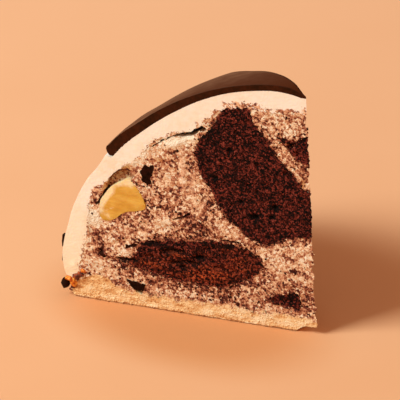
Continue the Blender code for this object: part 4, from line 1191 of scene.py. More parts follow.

# %% [markdown]
# Sponge looks darker and denser where it was pressed, and its pores are darkened as painted shade. It
# is redder where it stayed dry, and crumbs along its rim are coated with cream. The base is browner
# where its edge was baked, paler near the tip as painted light, and the filling sank into its top.
# The fruit is paler along its skin. The glaze has its skin, painted lighter as a sheen, everywhere but
# on the cuts.

# %% Mark the sponge, the base and the fruit
NEAR_RUST = [
    (38.0, 18.5, 7.5, 3.4, 0, 1.0), (46.0, 16.5, 8.0, 2.4, -6, 0.8), (27.0, 24.5, 6.0, 4.0, 0, 0.6),
    (52.0, 24.5, 3.0, 1.2, 0, 0.7), (42.0, 27.0, 3.4, 1.2, 0, 0.5), (61.0, 20.0, 8.0, 4.0, 0, 0.6),
    (33.0, 29.5, 5.0, 1.6, 0, 0.4), (70.0, 18.2, 4.0, 1.2, -10, 0.4),
]
# Pressed places, and painted shade in the pores: most patches sit on the sponge's pore dents.
NEAR_PRESSED_AND_PORE_SHADE = [
    (53.5, 21.1, 2.4, 0.7, -8, 1.0), (47.6, 21.9, 2.2, 0.8, 10, 1.0), (43.6, 24.6, 2.2, 0.8, -10, 1.0),
    (53.6, 26.2, 3.4, 0.9, 0, 0.8), (50.8, 19.8, 2.0, 0.9, 0, 0.7), (57.0, 25.2, 2.6, 1.0, 0, 0.5),
    (73.0, 19.3, 4.5, 1.0, 0, 0.8), (34.0, 31.0, 6.0, 0.9, 0, 0.5), (62.0, 27.5, 5.0, 1.0, 0, 0.4),
    (20.5, 45.1, 1.3, 1.1, 0, 1.4), (12.5, 50.5, 1.0, 0.9, 0, 1.2), (14.0, 46.0, 0.9, 0.8, 0, 1.2),
    (35.9, 59.0, 1.3, 1.0, 0, 1.0), (29.3, 71.0, 1.2, 0.9, 0, 0.9), (25.6, 50.7, 0.8, 0.7, 0, 0.9),
    (40.0, 67.0, 2.2, 4.0, 0, 0.35), (36.0, 77.0, 3.0, 4.0, 30, 0.4), (5.2, 76.0, 1.8, 0.9, -30, 0.5),
    (3.0, 72.6, 3.5, 3.5, 0, -0.35), (8.6, 13.2, 3.0, 1.2, 0, 0.1),
]
# Browner where the edge was baked. The negative patch towards the tip makes it paler, as painted light.
NEAR_BAKED_AND_LIT = [
    (92.0, 9.0, 4.5, 3.0, -30, 0.6), (84.0, 8.5, 7.0, 2.5, 0, 0.35), (95.5, 5.5, 2.5, 2.0, 0, 0.9),
    (18.0, 3.6, 17.0, 3.6, 0, -0.45), (73.0, 7.5, 5.0, 1.6, 0, 0.3), (60.0, 6.5, 8.0, 1.4, 0, 0.15),
]
NEAR_PALE = [
    (83.4, 39.3, 1.3, 2.4, 28, 1.0), (81.4, 43.4, 1.4, 2.8, 32, 1.1), (78.9, 47.0, 1.7, 2.6, 34, 1.1),
    (74.0, 51.2, 3.8, 1.4, -26, 1.0), (70.0, 51.4, 1.8, 1.8, 0, 0.9), (80.6, 36.8, 2.8, 1.8, 20, 0.4),
    (79.4, 39.6, 2.8, 0.35, -24, 0.5),
]
FAR_PALE = [(59.5, 69.0, 3.5, 1.6, -40, 1.0), (54.0, 71.0, 4.0, 1.3, 0, 0.9), (62.0, 63.0, 1.4, 3.5, 10, 0.7)]
# Two white spots on the sponge at the tip, added to its rim.
NEAR_WHITE_SPOTS = [(6.6, 77.0, 0.7, 0.6, 0, 1.4), (4.7, 75.7, 0.6, 0.5, 0, 1.4)]
WIDE_RIM, NARROW_RIM = 2.0, 1.2
MINGLED_DEPTH, MINGLED_END, MINGLED_FADE = 3.0, 84.0, 8.0
# Where the glaze's skin begins behind the cut. The skin is painted lighter, as painted sheen.
SHEEN_SKIN_DEPTH, SHEEN_SKIN_FADE = 0.3, 0.5


def write_rim(obj, corners, reach, far=None):
    """1 at the edge of the cut piece, 0 from reach millimetres inside it."""
    side, u, v, _ = face_places(obj)
    near_outline = curved(corners, OUTLINE_SPACING)
    far_outline = changed(near_outline, **far) if far else near_outline
    apart = np.where(side == NEAR, apart_from(u, v, near_outline), apart_from(u, v, far_outline))
    coated = np.where(side == NEAR, patch_sum(u, v, NEAR_WHITE_SPOTS), 0.0)
    write_attribute(obj, "rim", np.clip(1 - apart / reach, 0, 1) + coated)


for name, lump in lumps.items():
    if "sponge" in name:
        write_patches(lump, "rust", NEAR_RUST, [])
        write_patches(lump, "pressed_and_pore_shade", NEAR_PRESSED_AND_PORE_SHADE, [])
for name, (corners, far) in THROUGH.items():
    write_rim(lumps[name], corners, WIDE_RIM if "lower" in name else NARROW_RIM, far)
write_rim(lumps["chocolate_sponge_far_side"], FAR_SPONGE, WIDE_RIM)
write_patches(lumps["fruit_piece"], "pale", NEAR_PALE, NEAR_PALE)
write_patches(lumps["fruit_piece_far_side"], "pale", [], FAR_PALE)


def write_mingled(base):
    """1 at the top of the base, where the filling sank into its crumb, and 0 further down."""
    _, u, v, _ = face_places(base)
    below = np.array([base_top(radius) - height for radius, height in zip(u, v)])
    inwards = np.clip((MINGLED_END - u) / MINGLED_FADE, 0, 1)
    write_attribute(base, "mingled", np.clip(1 - below / MINGLED_DEPTH, 0, 1) * inwards)


write_patches(whole["base"], "baked", NEAR_BAKED_AND_LIT, NEAR_BAKED_AND_LIT)
write_mingled(whole["base"])
glaze_depths = face_places(whole["glaze"])[3]
# the glaze's skin, painted lighter as a sheen
write_attribute(whole["glaze"], "skin", np.clip((glaze_depths - SHEEN_SKIN_DEPTH) / SHEEN_SKIN_FADE, 0, 1))
print("marked: the base, the glaze and", sum("chip" not in name for name in lumps), "lumps")

# %% [markdown]
# ## Finishes
#
# Each finish is a Principled shader fed by noises at the size of what it stands for: grains of half a
# millimetre, clumps of two, and broad drifts of ten. Places come from Object coordinates in millimetres,
# so the patterns keep their true size. Colours are given as they look on a screen and turned into light.

# %% Write helpers for finishes
PER_METRE = 1000  # turns Object coordinates, in metres, into millimetres
NOISE_RANGE = (0.27, 0.73)  # nearly all of a noise lies between these
CELL_WANDER = (0.6, 0.6, 0.6)


def srgb(*levels):
    """A colour as it looks on a screen, 0 to 255, turned into light."""
    shares = [level / 255 for level in levels]
    return (*(s / 12.92 if s <= 0.04045 else ((s + 0.055) / 1.055) ** 2.4 for s in shares), 1.0)


def finish(name, **sockets):
    """A new Principled material, its tree, its shader and its places in millimetres."""
    made = bpy.data.materials.new(name)
    made.use_nodes = True
    tree = made.node_tree
    shader = tree.nodes["Principled BSDF"]
    for label, value in sockets.items():
        shader.inputs[label.replace("_", " ")].default_value = value
    place = tree.nodes.new("ShaderNodeTexCoord").outputs["Object"]
    return made, tree, shader, stretched(tree, place, PER_METRE, PER_METRE, PER_METRE)


def grains(tree, place, size, detail=2.0, shift=0.0, squash=(1, 1, 1)):
    """Noise whose grains are about size millimetres, spread out to the whole of 0 to 1."""
    moved = shifted(tree, stretched(tree, place, *(s / size for s in squash)), shift, shift * 0.7, -shift)
    raw = put(tree, "ShaderNodeTexNoise", moved, 1.0, detail, 0.5).outputs[0]
    return mapped(tree, raw, *NOISE_RANGE, 0.0, 1.0)


def crumb_tones(tree, place, size, shift=0.0):
    """A random tone from 0 to 1 for each crumb of about size millimetres, with crisp edges between them."""
    scaled = shifted(tree, stretched(tree, place, *(1 / size,) * 3), shift, shift * 0.7, -shift)
    wander = put(tree, "ShaderNodeTexNoise", scaled, 2.0, 1.0).outputs[1]
    bent = put(tree, "ShaderNodeVectorMath", wander, CELL_WANDER, scaled, operation="MULTIPLY_ADD")
    cell = put(tree, "ShaderNodeTexVoronoi", bent.outputs[0], 1.0).outputs["Color"]
    return put(tree, "ShaderNodeSeparateColor", cell).outputs[0]


def sum_of(tree, *parts):
    """The weighted sum of (weight, value) pairs."""
    total = 0.0
    for weight, value in parts:
        total = maths(tree, "MULTIPLY_ADD", value, weight, total)
    return total


def attribute(tree, name):
    return put(tree, "ShaderNodeAttribute", attribute_name=name).outputs["Fac"]


def ramp(tree, share, *stops):
    """A colour for each share, from (position, colour) stops."""
    node = put(tree, "ShaderNodeValToRGB", share)
    band = node.color_ramp
    while len(band.elements) < len(stops):
        band.elements.new(1.0)
    for element, (position, colour) in zip(band.elements, stops):
        element.position = position
        element.color = colour
    return node.outputs[0]


def mixed(tree, share, first, second, way="MIX"):
    node = put(tree, "ShaderNodeMix", share, first, second, data_type="RGBA", blend_type=way)
    return next(socket for socket in node.outputs if socket.enabled)


def roughened(tree, shader, height, distance, strength):
    """Gives the shader a bump of at most distance millimetres."""
    relief = put(tree, "ShaderNodeBump", strength, distance * MM)
    tree.links.new(height, relief.inputs["Height"])
    tree.links.new(relief.outputs[0], shader.inputs["Normal"])


print("finish helpers ready")

# %% [markdown]
# Whipped sour cream is warm white, a little translucent, and shows drifts of butter yellow. Where crumbs
# were smeared into it, brown grains break through: the smear attribute lowers the threshold at which a
# noise turns into crumb. Low down it is a shade warmer. Syrup stains it in the hollow, and that stain is
# also painted shade on the hollow's walls.

# %% Mix the whipped cream
cream, tree, shader, place = finish(
    "whipped_cream", Roughness=0.5, Subsurface_Weight=0.12, Subsurface_Scale=0.003,
)
shader.inputs["Subsurface Radius"].default_value = (1.0, 0.7, 0.5)
tone = sum_of(tree, (0.35, grains(tree, place, 2.4, shift=4.0)), (0.65, grains(tree, place, 13.0)))
white = ramp(tree, tone, (0.15, srgb(246, 240, 226)), (0.45, srgb(251, 250, 243)),
             (0.75, srgb(254, 254, 251)))
white = mixed(tree, attribute(tree, "low"), white, srgb(253, 246, 230), "MULTIPLY")
crumbling = sum_of(tree, (0.4, crumb_tones(tree, place, 0.8, shift=9.0)), (0.25, grains(tree, place, 0.5)),
                   (0.35, grains(tree, place, 1.9, shift=2.0)))
smeared = maths(tree, "SUBTRACT", maths(tree, "ADD", crumbling, attribute(tree, "smear")), 0.98)
share = mapped(tree, smeared, -0.06, 0.12, 0.0, 1.0)
crumb_colour = ramp(tree, crumb_tones(tree, place, 0.7, shift=6.0), (0.1, srgb(104, 48, 36)),
                    (0.5, srgb(178, 116, 90)), (0.9, srgb(236, 196, 162)))
crumbed = mixed(tree, share, white, crumb_colour)
stained_and_shaded = mixed(tree, attribute(tree, "syrup_and_hollow_shade"), crumbed, srgb(170, 122, 60), "MULTIPLY")
tree.links.new(stained_and_shaded, shader.inputs["Base Color"])
bubbles = put(tree, "ShaderNodeTexVoronoi", stretched(tree, place, 0.8, 0.8, 0.8), 1.0).outputs[0]
height = sum_of(tree, (0.3, bubbles), (1.0, grains(tree, place, 0.9, detail=3.0)))
roughened(tree, shader, height, 0.12, 0.6)
print("finish:", cream.name)

# %% [markdown]
# Poured chocolate sets with a satin skin: smooth, with long faint waves and a few dull patches. The
# skin is painted a shade lighter than where it was cut, as painted sheen. A broad noise varies the
# roughness, and the bump is very low. The chips and flakes are a darker, duller chocolate.

# %% Mix the chocolates
def chocolate_finish(name, dark, light, skin, roughness, shine, wave):
    made, tree, shader, place = finish(name, Specular_IOR_Level=shine)
    shader.inputs["Specular Tint"].default_value = (1.0, 0.6, 0.34, 1.0)
    tone = sum_of(tree, (0.5, grains(tree, place, 1.3)), (0.5, grains(tree, place, 7.0, shift=3.0)))
    cut = ramp(tree, tone, (0.2, dark), (0.8, light))
    # the skin's colour is a painted sheen, lighter than the cut
    coated = mixed(tree, attribute(tree, "skin"), cut, skin)
    tree.links.new(coated, shader.inputs["Base Color"])
    patchy = grains(tree, place, 5.0, shift=8.0)
    dull = mapped(tree, patchy, 0.0, 1.0, *roughness)
    tree.links.new(dull, shader.inputs["Roughness"])
    height = maths(tree, "MULTIPLY_ADD", grains(tree, place, 0.8, shift=5.0), 0.15, grains(tree, place, 6.0))
    roughened(tree, shader, height, wave, 0.6)
    return made


# the glaze's skin colour is a painted sheen
glaze_finish = chocolate_finish(
    "glaze_chocolate", srgb(24, 6, 2), srgb(56, 20, 8), srgb(72, 32, 12), (0.34, 0.46), 0.24, 0.1,
)
chip_finish = chocolate_finish(
    "chip_chocolate", srgb(5, 1, 1), srgb(40, 13, 10), srgb(40, 13, 10), (0.5, 0.7), 0.12, 0.3,
)
print("finishes:", glaze_finish.name, chip_finish.name)

# %% [markdown]
# The filling's colour comes from one number: grains of four sizes, less the cocoa of that place. A
# colour ramp turns it from dark crumb through pink-brown to cream. Syrup tints it golden, and round the
# hollow and the slit that tint is also painted shade. Deep in a gap it is painted dark, as painted shade.

# %% Mix the marbled filling
CRUMB_TONES = (
    (0.08, srgb(58, 18, 13)), (0.25, srgb(112, 52, 38)), (0.41, srgb(180, 116, 88)),
    (0.56, srgb(222, 172, 138)), (0.74, srgb(250, 224, 192)), (0.92, srgb(248, 243, 228)),
)


def mixture(tree, place, cocoa):
    """Crumb stirred into cream: the more cocoa, the browner."""
    value = sum_of(
        tree, (0.6, crumb_tones(tree, place, 1.05)), (0.14, crumb_tones(tree, place, 2.2, shift=5.0)),
        (0.18, grains(tree, place, 4.0, shift=11.0)), (0.52, grains(tree, place, 0.75, shift=3.0)),
        (-0.4, cocoa),
    )
    value = maths(tree, "SUBTRACT", value, 0.19)
    return value, ramp(tree, value, *CRUMB_TONES)


marbled, tree, shader, place = finish("marbled_mixture", Roughness=0.7, Specular_IOR_Level=0.3)
value, body = mixture(tree, place, attribute(tree, "cocoa"))
body = mixed(tree, attribute(tree, "smooth"), body, srgb(232, 192, 162))
# syrup stain, and painted shade round the hollow and the slit
syrup_and_hollow_shade = mapped(tree, attribute(tree, "syrup_and_hollow_shade"), 0.1, 1.0, 0.0, 0.85)
golden = mixed(tree, syrup_and_hollow_shade, body, srgb(204, 156, 76), "MULTIPLY")
# Painted shade: deep in a gap the filling is painted dark brown.
painted_gap_shade = maths(tree, "MULTIPLY", attribute(tree, "gap_shade"), 0.8)
tree.links.new(mixed(tree, painted_gap_shade, golden, srgb(48, 18, 10)), shader.inputs["Base Color"])
roughened(tree, shader, sum_of(tree, (1.0, value), (0.6, grains(tree, place, 0.5))), 0.5, 0.8)
print("finish:", marbled.name)

# %% [markdown]
# Chocolate sponge is nearly black-brown, with redder grains where crumbs catch the light and black
# pores. Pressed places are darker, the pores darker still as painted shade, and dry ones rust red, in
# streaks that follow the bake. Where the lump met the cream, some of its crumbs are coated pale.

# %% Mix the chocolate sponge
sponge, tree, shader, place = finish("dark_sponge", Roughness=0.85, Specular_IOR_Level=0.15)
fine = crumb_tones(tree, place, 0.65)
# darker where pressed, and painted shade in the pores
value = sum_of(tree, (0.8, fine), (0.55, grains(tree, place, 0.5, shift=4.0)),
               (0.2, grains(tree, place, 2.6, shift=7.0)), (-0.7, attribute(tree, "pressed_and_pore_shade")))
value = maths(tree, "SUBTRACT", value, 0.17)
body = ramp(tree, value, (0.3, srgb(5, 1, 1)), (0.55, srgb(36, 8, 7)), (0.76, srgb(80, 26, 20)),
            (1.0, srgb(134, 60, 50)))
streaks = grains(tree, place, 2.2, shift=3.0, squash=(0.35, 0.35, 1.7))
rusty = maths(tree, "MULTIPLY", attribute(tree, "rust"), streaks)
rust = ramp(tree, fine, (0.15, srgb(40, 6, 3)), (0.45, srgb(120, 38, 18)), (0.85, srgb(212, 104, 56)))
baked = mixed(tree, rusty, body, rust)
coated = sum_of(tree, (0.45, crumb_tones(tree, place, 0.9, shift=8.0)),
                (0.35, grains(tree, place, 1.8, shift=2.0)), (0.62, attribute(tree, "rim")))
coated = mapped(tree, coated, 0.93, 1.06, 0.0, 0.85)
tree.links.new(mixed(tree, coated, baked, srgb(196, 132, 102)), shader.inputs["Base Color"])
roughened(tree, shader, sum_of(tree, (0.7, fine), (0.5, streaks), (0.5, grains(tree, place, 0.6))), 0.6, 0.9)
print("finish:", sponge.name)

# %% [markdown]
# The base is butter sponge: golden crumb, paler inside, with a thin brown skin where it lay on the
# baking tin, and browner where its edge was baked. The skin is a band of Z just above the table. At the
# top the filling has sunk into the crumb, so that the two finishes mix there.

# %% Mix the butter sponge
pale, tree, shader, place = finish("butter_sponge", Roughness=0.78, Specular_IOR_Level=0.3)
value = sum_of(
    tree, (0.2, crumb_tones(tree, place, 0.8)), (0.25, grains(tree, place, 0.7, squash=(0.7, 0.7, 1.4))),
    (0.65, grains(tree, place, 2.8, shift=7.0, squash=(0.5, 0.5, 1.4))), (-0.4, attribute(tree, "baked")),
)
body = ramp(tree, value, (0.05, srgb(184, 122, 70)), (0.3, srgb(228, 180, 124)), (0.55, srgb(246, 216, 166)),
            (0.85, srgb(253, 238, 204)))
up = put(tree, "ShaderNodeSeparateXYZ", place).outputs[2]
skin = maths(tree, "MULTIPLY_ADD", grains(tree, place, 2.2, shift=1.0), -0.9, up)
skin = mapped(tree, skin, 0.35, -0.1, 0.0, 0.85)
skinned = mixed(tree, skin, body, srgb(168, 104, 58))
_, sunk = mixture(tree, place, maths(tree, "MULTIPLY", attribute(tree, "mingled"), 0.1))
mingling = sum_of(tree, (0.3, crumb_tones(tree, place, 1.0, shift=4.0)),
                  (0.45, grains(tree, place, 2.4, shift=9.0)), (0.75, attribute(tree, "mingled")))
mingling = mapped(tree, mingling, 0.72, 1.0, 0.0, 0.9)
tree.links.new(mixed(tree, mingling, skinned, sunk), shader.inputs["Base Color"])
roughened(tree, shader, sum_of(tree, (1.0, value), (0.4, grains(tree, place, 0.6))), 0.6, 0.8)
print("finish:", pale.name)

# %% [markdown]
# Canned fruit is clear and wet. Light goes in and comes out amber, and the skin side is paler and more
# cloudy, which the pale attribute marks. The crumbs on the rim are baked crumb in three shades, and the
# orange ones have a sugar coat, so they are the smoothest.

# %% Mix the fruit and the toasted crumbs
fruit, tree, shader, place = finish(
    "fruit_flesh", Roughness=0.35, Subsurface_Weight=0.3, Subsurface_Scale=0.004,
)
shader.inputs["Subsurface Radius"].default_value = (1.0, 0.7, 0.25)
fibres = grains(tree, place, 3.0, shift=2.0, squash=(0.5, 0.5, 1.2))
flesh = ramp(tree, fibres, (0.15, srgb(208, 160, 60)), (0.5, srgb(216, 170, 70)), (0.85, srgb(226, 186, 88)))
cloud = sum_of(tree, (0.3, grains(tree, place, 1.6, shift=5.0)), (1.0, attribute(tree, "pale")))
cloud = mapped(tree, cloud, 0.35, 0.95, 0.0, 1.0)
tree.links.new(mixed(tree, cloud, flesh, srgb(250, 236, 196)), shader.inputs["Base Color"])
roughened(tree, shader, fibres, 0.35, 0.6)


def baked_finish(name, dark, middle, light, roughness):
    made, tree, shader, place = finish(name, Roughness=roughness)
    body = ramp(tree, grains(tree, place, 1.3), (0.15, dark), (0.5, middle), (0.85, light))
    tree.links.new(body, shader.inputs["Base Color"])
    roughened(tree, shader, grains(tree, place, 0.5, shift=2.0), 0.2, 0.8)
    return made


toasted = baked_finish("toasted_crumb", srgb(96, 42, 20), srgb(186, 96, 36), srgb(232, 160, 84), 0.6)
browned = baked_finish("browned_crumb", srgb(52, 10, 4), srgb(108, 34, 12), srgb(178, 84, 34), 0.5)
sugared = baked_finish("sugared_crumb", srgb(172, 56, 8), srgb(222, 118, 22), srgb(242, 178, 70), 0.35)
print("finishes:", fruit.name, toasted.name, browned.name, sugared.name)

# %% [markdown]
# ## Flakes on the rind
#
# Chocolate flakes were thrown at the wet cream and stuck. They lie where the solids have them. A point
# for each flake carries its turn and its size as attributes, and a Geometry Nodes tree puts a small
# tapered slab on every point. Noise read at the flake's own place then bends each one differently.

# %% Grow the flakes
SLICE_ANGLE = 2 * HALF_ANGLE
EDGE_FLAKES = [
    (17.1, 22.4, (4.6, 2.6, 2.0), 4.0, 3.0), (17.2, 15.6, (3.4, 2.2, 1.3), -6.0, -4.0),
    (15.4, 18.6, (5.6, 2.4, 1.5), 38.0, 6.0),
]
FLAKE_COUNT, FLAKE_SEED, FLAKE_TAPER = 40, 11, 0.72
FLAKE_SIZE = ((2.6, 6.8), (1.5, 3.0), (0.9, 1.5))
FLAKE_BAND, FLAKE_MARGIN = (12.5, 30.0), (2.0, 3.0)
FLAKE_CROWDING, FLAKE_SCATTER = 1.6, 1.0  # more flakes low down, and none quite in line
FLAKE_ROLL, FLAKE_TILT = 90, 14
FLAKE_BEND, FLAKE_WAVES = 0.7, 400  # the bend in millimetres, and its waves in a metre
FLAKE_STANDS_OFF = 0.1  # of its thickness
REACH_ROUNDS = 6


def rind_point(turn, height, out):
    """A point out millimetres off the cream, and the polar angle there."""
    angle = 0.0
    for _ in range(REACH_ROUNDS):
        angle = math.degrees(math.asin((height - WIDEST_HEIGHT) / dome_reach(angle)))
    radius, level = polar(angle, dome_reach(angle) + out)
    a = math.radians(turn)
    return Vector((AXIS_X - radius * math.cos(a), -radius * math.sin(a), level)) * MM, angle


def flake_places():
    """The turn, height, size, roll and tilt of each flake."""
    yield from EDGE_FLAKES
    draw = random.Random(FLAKE_SEED)
    low, high = FLAKE_BAND
    from_far, from_near = FLAKE_MARGIN
    golden = (math.sqrt(5) - 1) / 2
    for i in range(FLAKE_COUNT):
        turn = from_far - HALF_ANGLE + (SLICE_ANGLE - from_far - from_near) * ((i * golden) % 1.0)
        share = (i + 0.5) / FLAKE_COUNT
        height = low + (high - low) * share ** FLAKE_CROWDING + draw.uniform(-FLAKE_SCATTER, FLAKE_SCATTER)
        size = [draw.uniform(*span) for span in FLAKE_SIZE]
        roll = draw.uniform(-FLAKE_ROLL, FLAKE_ROLL)
        yield turn, height, size, roll, draw.uniform(-FLAKE_TILT, FLAKE_TILT)


def on_points(tree, points, shape, spin, size):
    """Real copies of the shape, one on each point."""
    placed = put(tree, "GeometryNodeInstanceOnPoints", points, None, shape)
    tree.links.new(spin, placed.inputs["Rotation"])
    tree.links.new(size, placed.inputs["Scale"])
    return put(tree, "GeometryNodeRealizeInstances", placed.outputs[0]).outputs[0]


def uneven(tree, shape, position, waves, detail, reach):
    """The shape moved by noise that has this many waves in a metre."""
    here = stretched(tree, position, waves, waves, waves)
    sway = put(tree, "ShaderNodeTexNoise", here, 1.0, detail).outputs[1]
    centred = put(tree, "ShaderNodeVectorMath", sway, (0.5, 0.5, 0.5), operation="SUBTRACT").outputs[0]
    offset = put(tree, "ShaderNodeVectorMath", centred, reach, operation="SCALE").outputs[0]
    return put(tree, "GeometryNodeSetPosition", shape, None, None, offset).outputs[0]


def flake_tree():
    tree, given, result = new_tree("chocolate_flakes", {
        "Taper": ("Float", FLAKE_TAPER), "Bend": ("Float", FLAKE_BEND * MM), "Finish": ("Material", None),
    })
    points, taper, bend, coat = given[0:4]
    slab = put(tree, "GeometryNodeMeshCube", (1, 1, 1), 3, 5, 8).outputs[0]
    position = put(tree, "GeometryNodeInputPosition").outputs[0]
    parts = put(tree, "ShaderNodeSeparateXYZ", position).outputs
    narrow = mapped(tree, parts[2], -0.5, 0.5, 1.0, taper)
    slim = put(tree, "ShaderNodeCombineXYZ", parts[0], maths(tree, "MULTIPLY", parts[1], narrow), parts[2])
    slab = put(tree, "GeometryNodeSetPosition", slab, None, slim.outputs[0]).outputs[0]
    spin = put(tree, "GeometryNodeInputNamedAttribute", "spin", data_type="QUATERNION").outputs[0]
    size = put(tree, "GeometryNodeInputNamedAttribute", "size", data_type="FLOAT_VECTOR").outputs[0]
    bent = uneven(tree, on_points(tree, points, slab, spin, size), position, FLAKE_WAVES, 3.0, bend)
    tree.links.new(put(tree, "GeometryNodeSetMaterial", bent, None, coat).outputs[0], result[0])
    return tree


def grow_flakes():
    places, spins, sizes = [], [], []
    for turn, height, size, roll, tilt in flake_places():
        place, angle = rind_point(turn, height, FLAKE_STANDS_OFF * size[2])
        spin = (
            Matrix.Rotation(math.radians(turn + 180), 4, "Z") @ Matrix.Rotation(math.radians(-angle), 4, "Y")
            @ Matrix.Rotation(math.radians(roll), 4, "X") @ Matrix.Rotation(math.radians(tilt), 4, "Y")
        )
        places.append(place)
        spins.extend(spin.to_quaternion())
        sizes.extend(value * MM for value in (size[2], size[1], size[0]))
    mesh = bpy.data.meshes.new("chocolate_flakes")
    mesh.from_pydata(places, [], [])
    mesh.attributes.new("spin", "QUATERNION", "POINT").data.foreach_set("value", spins)
    mesh.attributes.new("size", "FLOAT_VECTOR", "POINT").data.foreach_set("vector", sizes)
    return grow_tree(linked("chocolate_flakes", mesh), flake_tree(), Finish=chip_finish)


flakes = grow_flakes()
print("flakes:", measures(flakes))

# %% [markdown]
# ## Crumbs
#
# A knife leaves crumbs standing on a cut face. One tree strews them: it scatters points where an
# attribute says that crumbs lie, puts a lump of twenty faces on each, turns and stretches it at random,
# and makes it uneven. The lumps are made real, because the export keeps no instances.

# %% Build the tree that strews crumbs
LUMP_FACES = 20
LUMP_BUMPS = 1900  # in a metre
FULL_TURN, SQUASH_LEAST, SQUASH_MOST = (6.28,) * 3, (0.6,) * 3, (1.4,) * 3
OTHER_SEED = 7.0
PER_SQUARE_METRE = 1e6


def crumb_tree():
    tree, given, result = new_tree("strewn_crumbs", {
        "Seed": ("Int", 1), "Per square millimetre": ("Float", 0.3), "Smallest": ("Float", 0.15),
        "Largest": ("Float", 0.4), "Sink": ("Float", 0.1), "Lumpiness": ("Float", 0.2),
        "Finish": ("Material", None),
    })
    host, seed, density, smallest, largest, sink, lumpiness, coat = given[0:8]
    where = put(tree, "GeometryNodeInputNamedAttribute", "strew", data_type="FLOAT").outputs[0]
    per_metre = maths(tree, "MULTIPLY", maths(tree, "MULTIPLY", where, density), PER_SQUARE_METRE)
    strewn = put(tree, "GeometryNodeDistributePointsOnFaces", host, None, per_metre, seed,
                 distribute_method="RANDOM")
    deep = maths(tree, "MULTIPLY", sink, -MM)
    inwards = put(tree, "ShaderNodeVectorMath", strewn.outputs[1], deep, operation="SCALE").outputs[0]
    points = put(tree, "GeometryNodeSetPosition", strewn.outputs[0], None, None, inwards).outputs[0]
    lump = put(tree, "GeometryNodeMeshIcoSphere", 1.0, 1).outputs[0]
    other_seed = maths(tree, "ADD", seed, OTHER_SEED)
    spin = put(tree, "FunctionNodeRandomValue", (0, 0, 0), FULL_TURN, None, seed,
               data_type="FLOAT_VECTOR").outputs[0]
    size = put(tree, "FunctionNodeRandomValue", smallest, largest, None, seed, data_type="FLOAT")
    size = next(socket for socket in size.outputs if socket.enabled)
    shape = put(tree, "FunctionNodeRandomValue", SQUASH_LEAST, SQUASH_MOST, None, other_seed,
                data_type="FLOAT_VECTOR").outputs[0]
    true_size = maths(tree, "MULTIPLY", size, MM)
    scale = put(tree, "ShaderNodeVectorMath", shape, true_size, operation="SCALE").outputs[0]
    position = put(tree, "GeometryNodeInputPosition").outputs[0]
    most = maths(tree, "MULTIPLY", lumpiness, 2 * MM)
    lumps_there = on_points(tree, points, lump, spin, scale)
    rough = uneven(tree, lumps_there, position, LUMP_BUMPS, 2.0, most)
    tree.links.new(put(tree, "GeometryNodeSetMaterial", rough, None, coat).outputs[0], result[0])
    return tree


strewing = crumb_tree()
print("the crumbs' tree has", len(strewing.nodes), "nodes")

# %% [markdown]
# Loose cocoa crumbs lie where the filling is brown or a lump shed them, and small curds of cream where
# it is white. On the base they gather low down, but none touches the table.

# %% Strew the filling
CUT_END = 99.0
COCOA_LEAST, COCOA_SHARE, COCOA_SHED = 0.03, 0.25, 0.6
CURD_LEAST, CURD_SHARE, CURD_LOSS = 0.1, 0.5, 0.8


def strewn(name, host, where, coat, seed, density, smallest, largest, sink=0.1, lumpiness=0.2):
    """Crumbs over the host's surface; where is their share of the full density for each vertex."""
    write_attribute(host, "strew", where)
    values = {
        "Seed": seed, "Per square millimetre": density, "Smallest": smallest, "Largest": largest,
        "Sink": sink, "Lumpiness": lumpiness, "Finish": coat,
    }
    crumbs = grow_tree(linked(name, host.data), strewing, **values)
    host.data.attributes.remove(host.data.attributes["strew"])
    print(name, len(crumbs.data.polygons) // LUMP_FACES, "crumbs")
    return crumbs


def inside_faces(obj, edge=1.0):
    """1 on the two cut faces, but not at the slice's outermost corners."""
    _, u, v, depth = face_places(obj)
    return on_face(depth) * np.clip(CUT_END - edge - u, 0, 1)


on_filling = inside_faces(filling)
browner = np.clip(COCOA_SHARE + cocoa + COCOA_SHED * shed_crumbs, COCOA_LEAST, 1)
cocoa_crumbs = strewn(
    "cocoa_crumbs", filling, on_filling * browner, sponge, seed=3, density=0.4, smallest=0.16, largest=0.5,
)
whiter = np.clip(CURD_SHARE - CURD_LOSS * cocoa, CURD_LEAST, 1)
cream_curds = strewn(
    "cream_curds", filling, on_filling * whiter, marbled, seed=5, density=0.1, smallest=0.3, largest=0.7,
    sink=0.35,
)

# %% Strew the sponge and the base
FIRST_SPONGE_SEED = 11
CRUMBS_HIGH, CRUMBS_LOW = 0.4, 1.6
LOW_CRUMBS_TOP, LOW_CRUMBS_FADE = 2.2, 0.8
TABLE_CLEARANCE, CLEARANCE_FADE = 0.5, 0.3

sponge_crumbs = {
    name: strewn(
        name.replace("chocolate_sponge", "sponge_crumbs"), lump, inside_faces(lump), sponge,
        seed=FIRST_SPONGE_SEED + i, density=0.55, smallest=0.18, largest=0.5, lumpiness=0.25,
    )
    for i, (name, lump) in enumerate(lumps.items()) if "sponge" in name
}
base = whole["base"]
base_height = face_places(base)[2]
by_the_table = CRUMBS_HIGH + CRUMBS_LOW * np.clip((LOW_CRUMBS_TOP - base_height) / LOW_CRUMBS_FADE, 0, 1)
clear_of_table = np.clip((base_height - TABLE_CLEARANCE) / CLEARANCE_FADE, 0, 1)
where_crumbs = inside_faces(base, edge=2.0) * by_the_table * clear_of_table
base_crumbs = strewn(
    "pale_crumbs", base, where_crumbs, pale, seed=31, density=0.9, smallest=0.18, largest=0.48,
)

# %% [markdown]
# Round the foot lie the toasted crumbs and bits of chocolate that the base was rolled in, at the places
# that the solids give them. A few more are piled at the near corner, as the photo shows them.

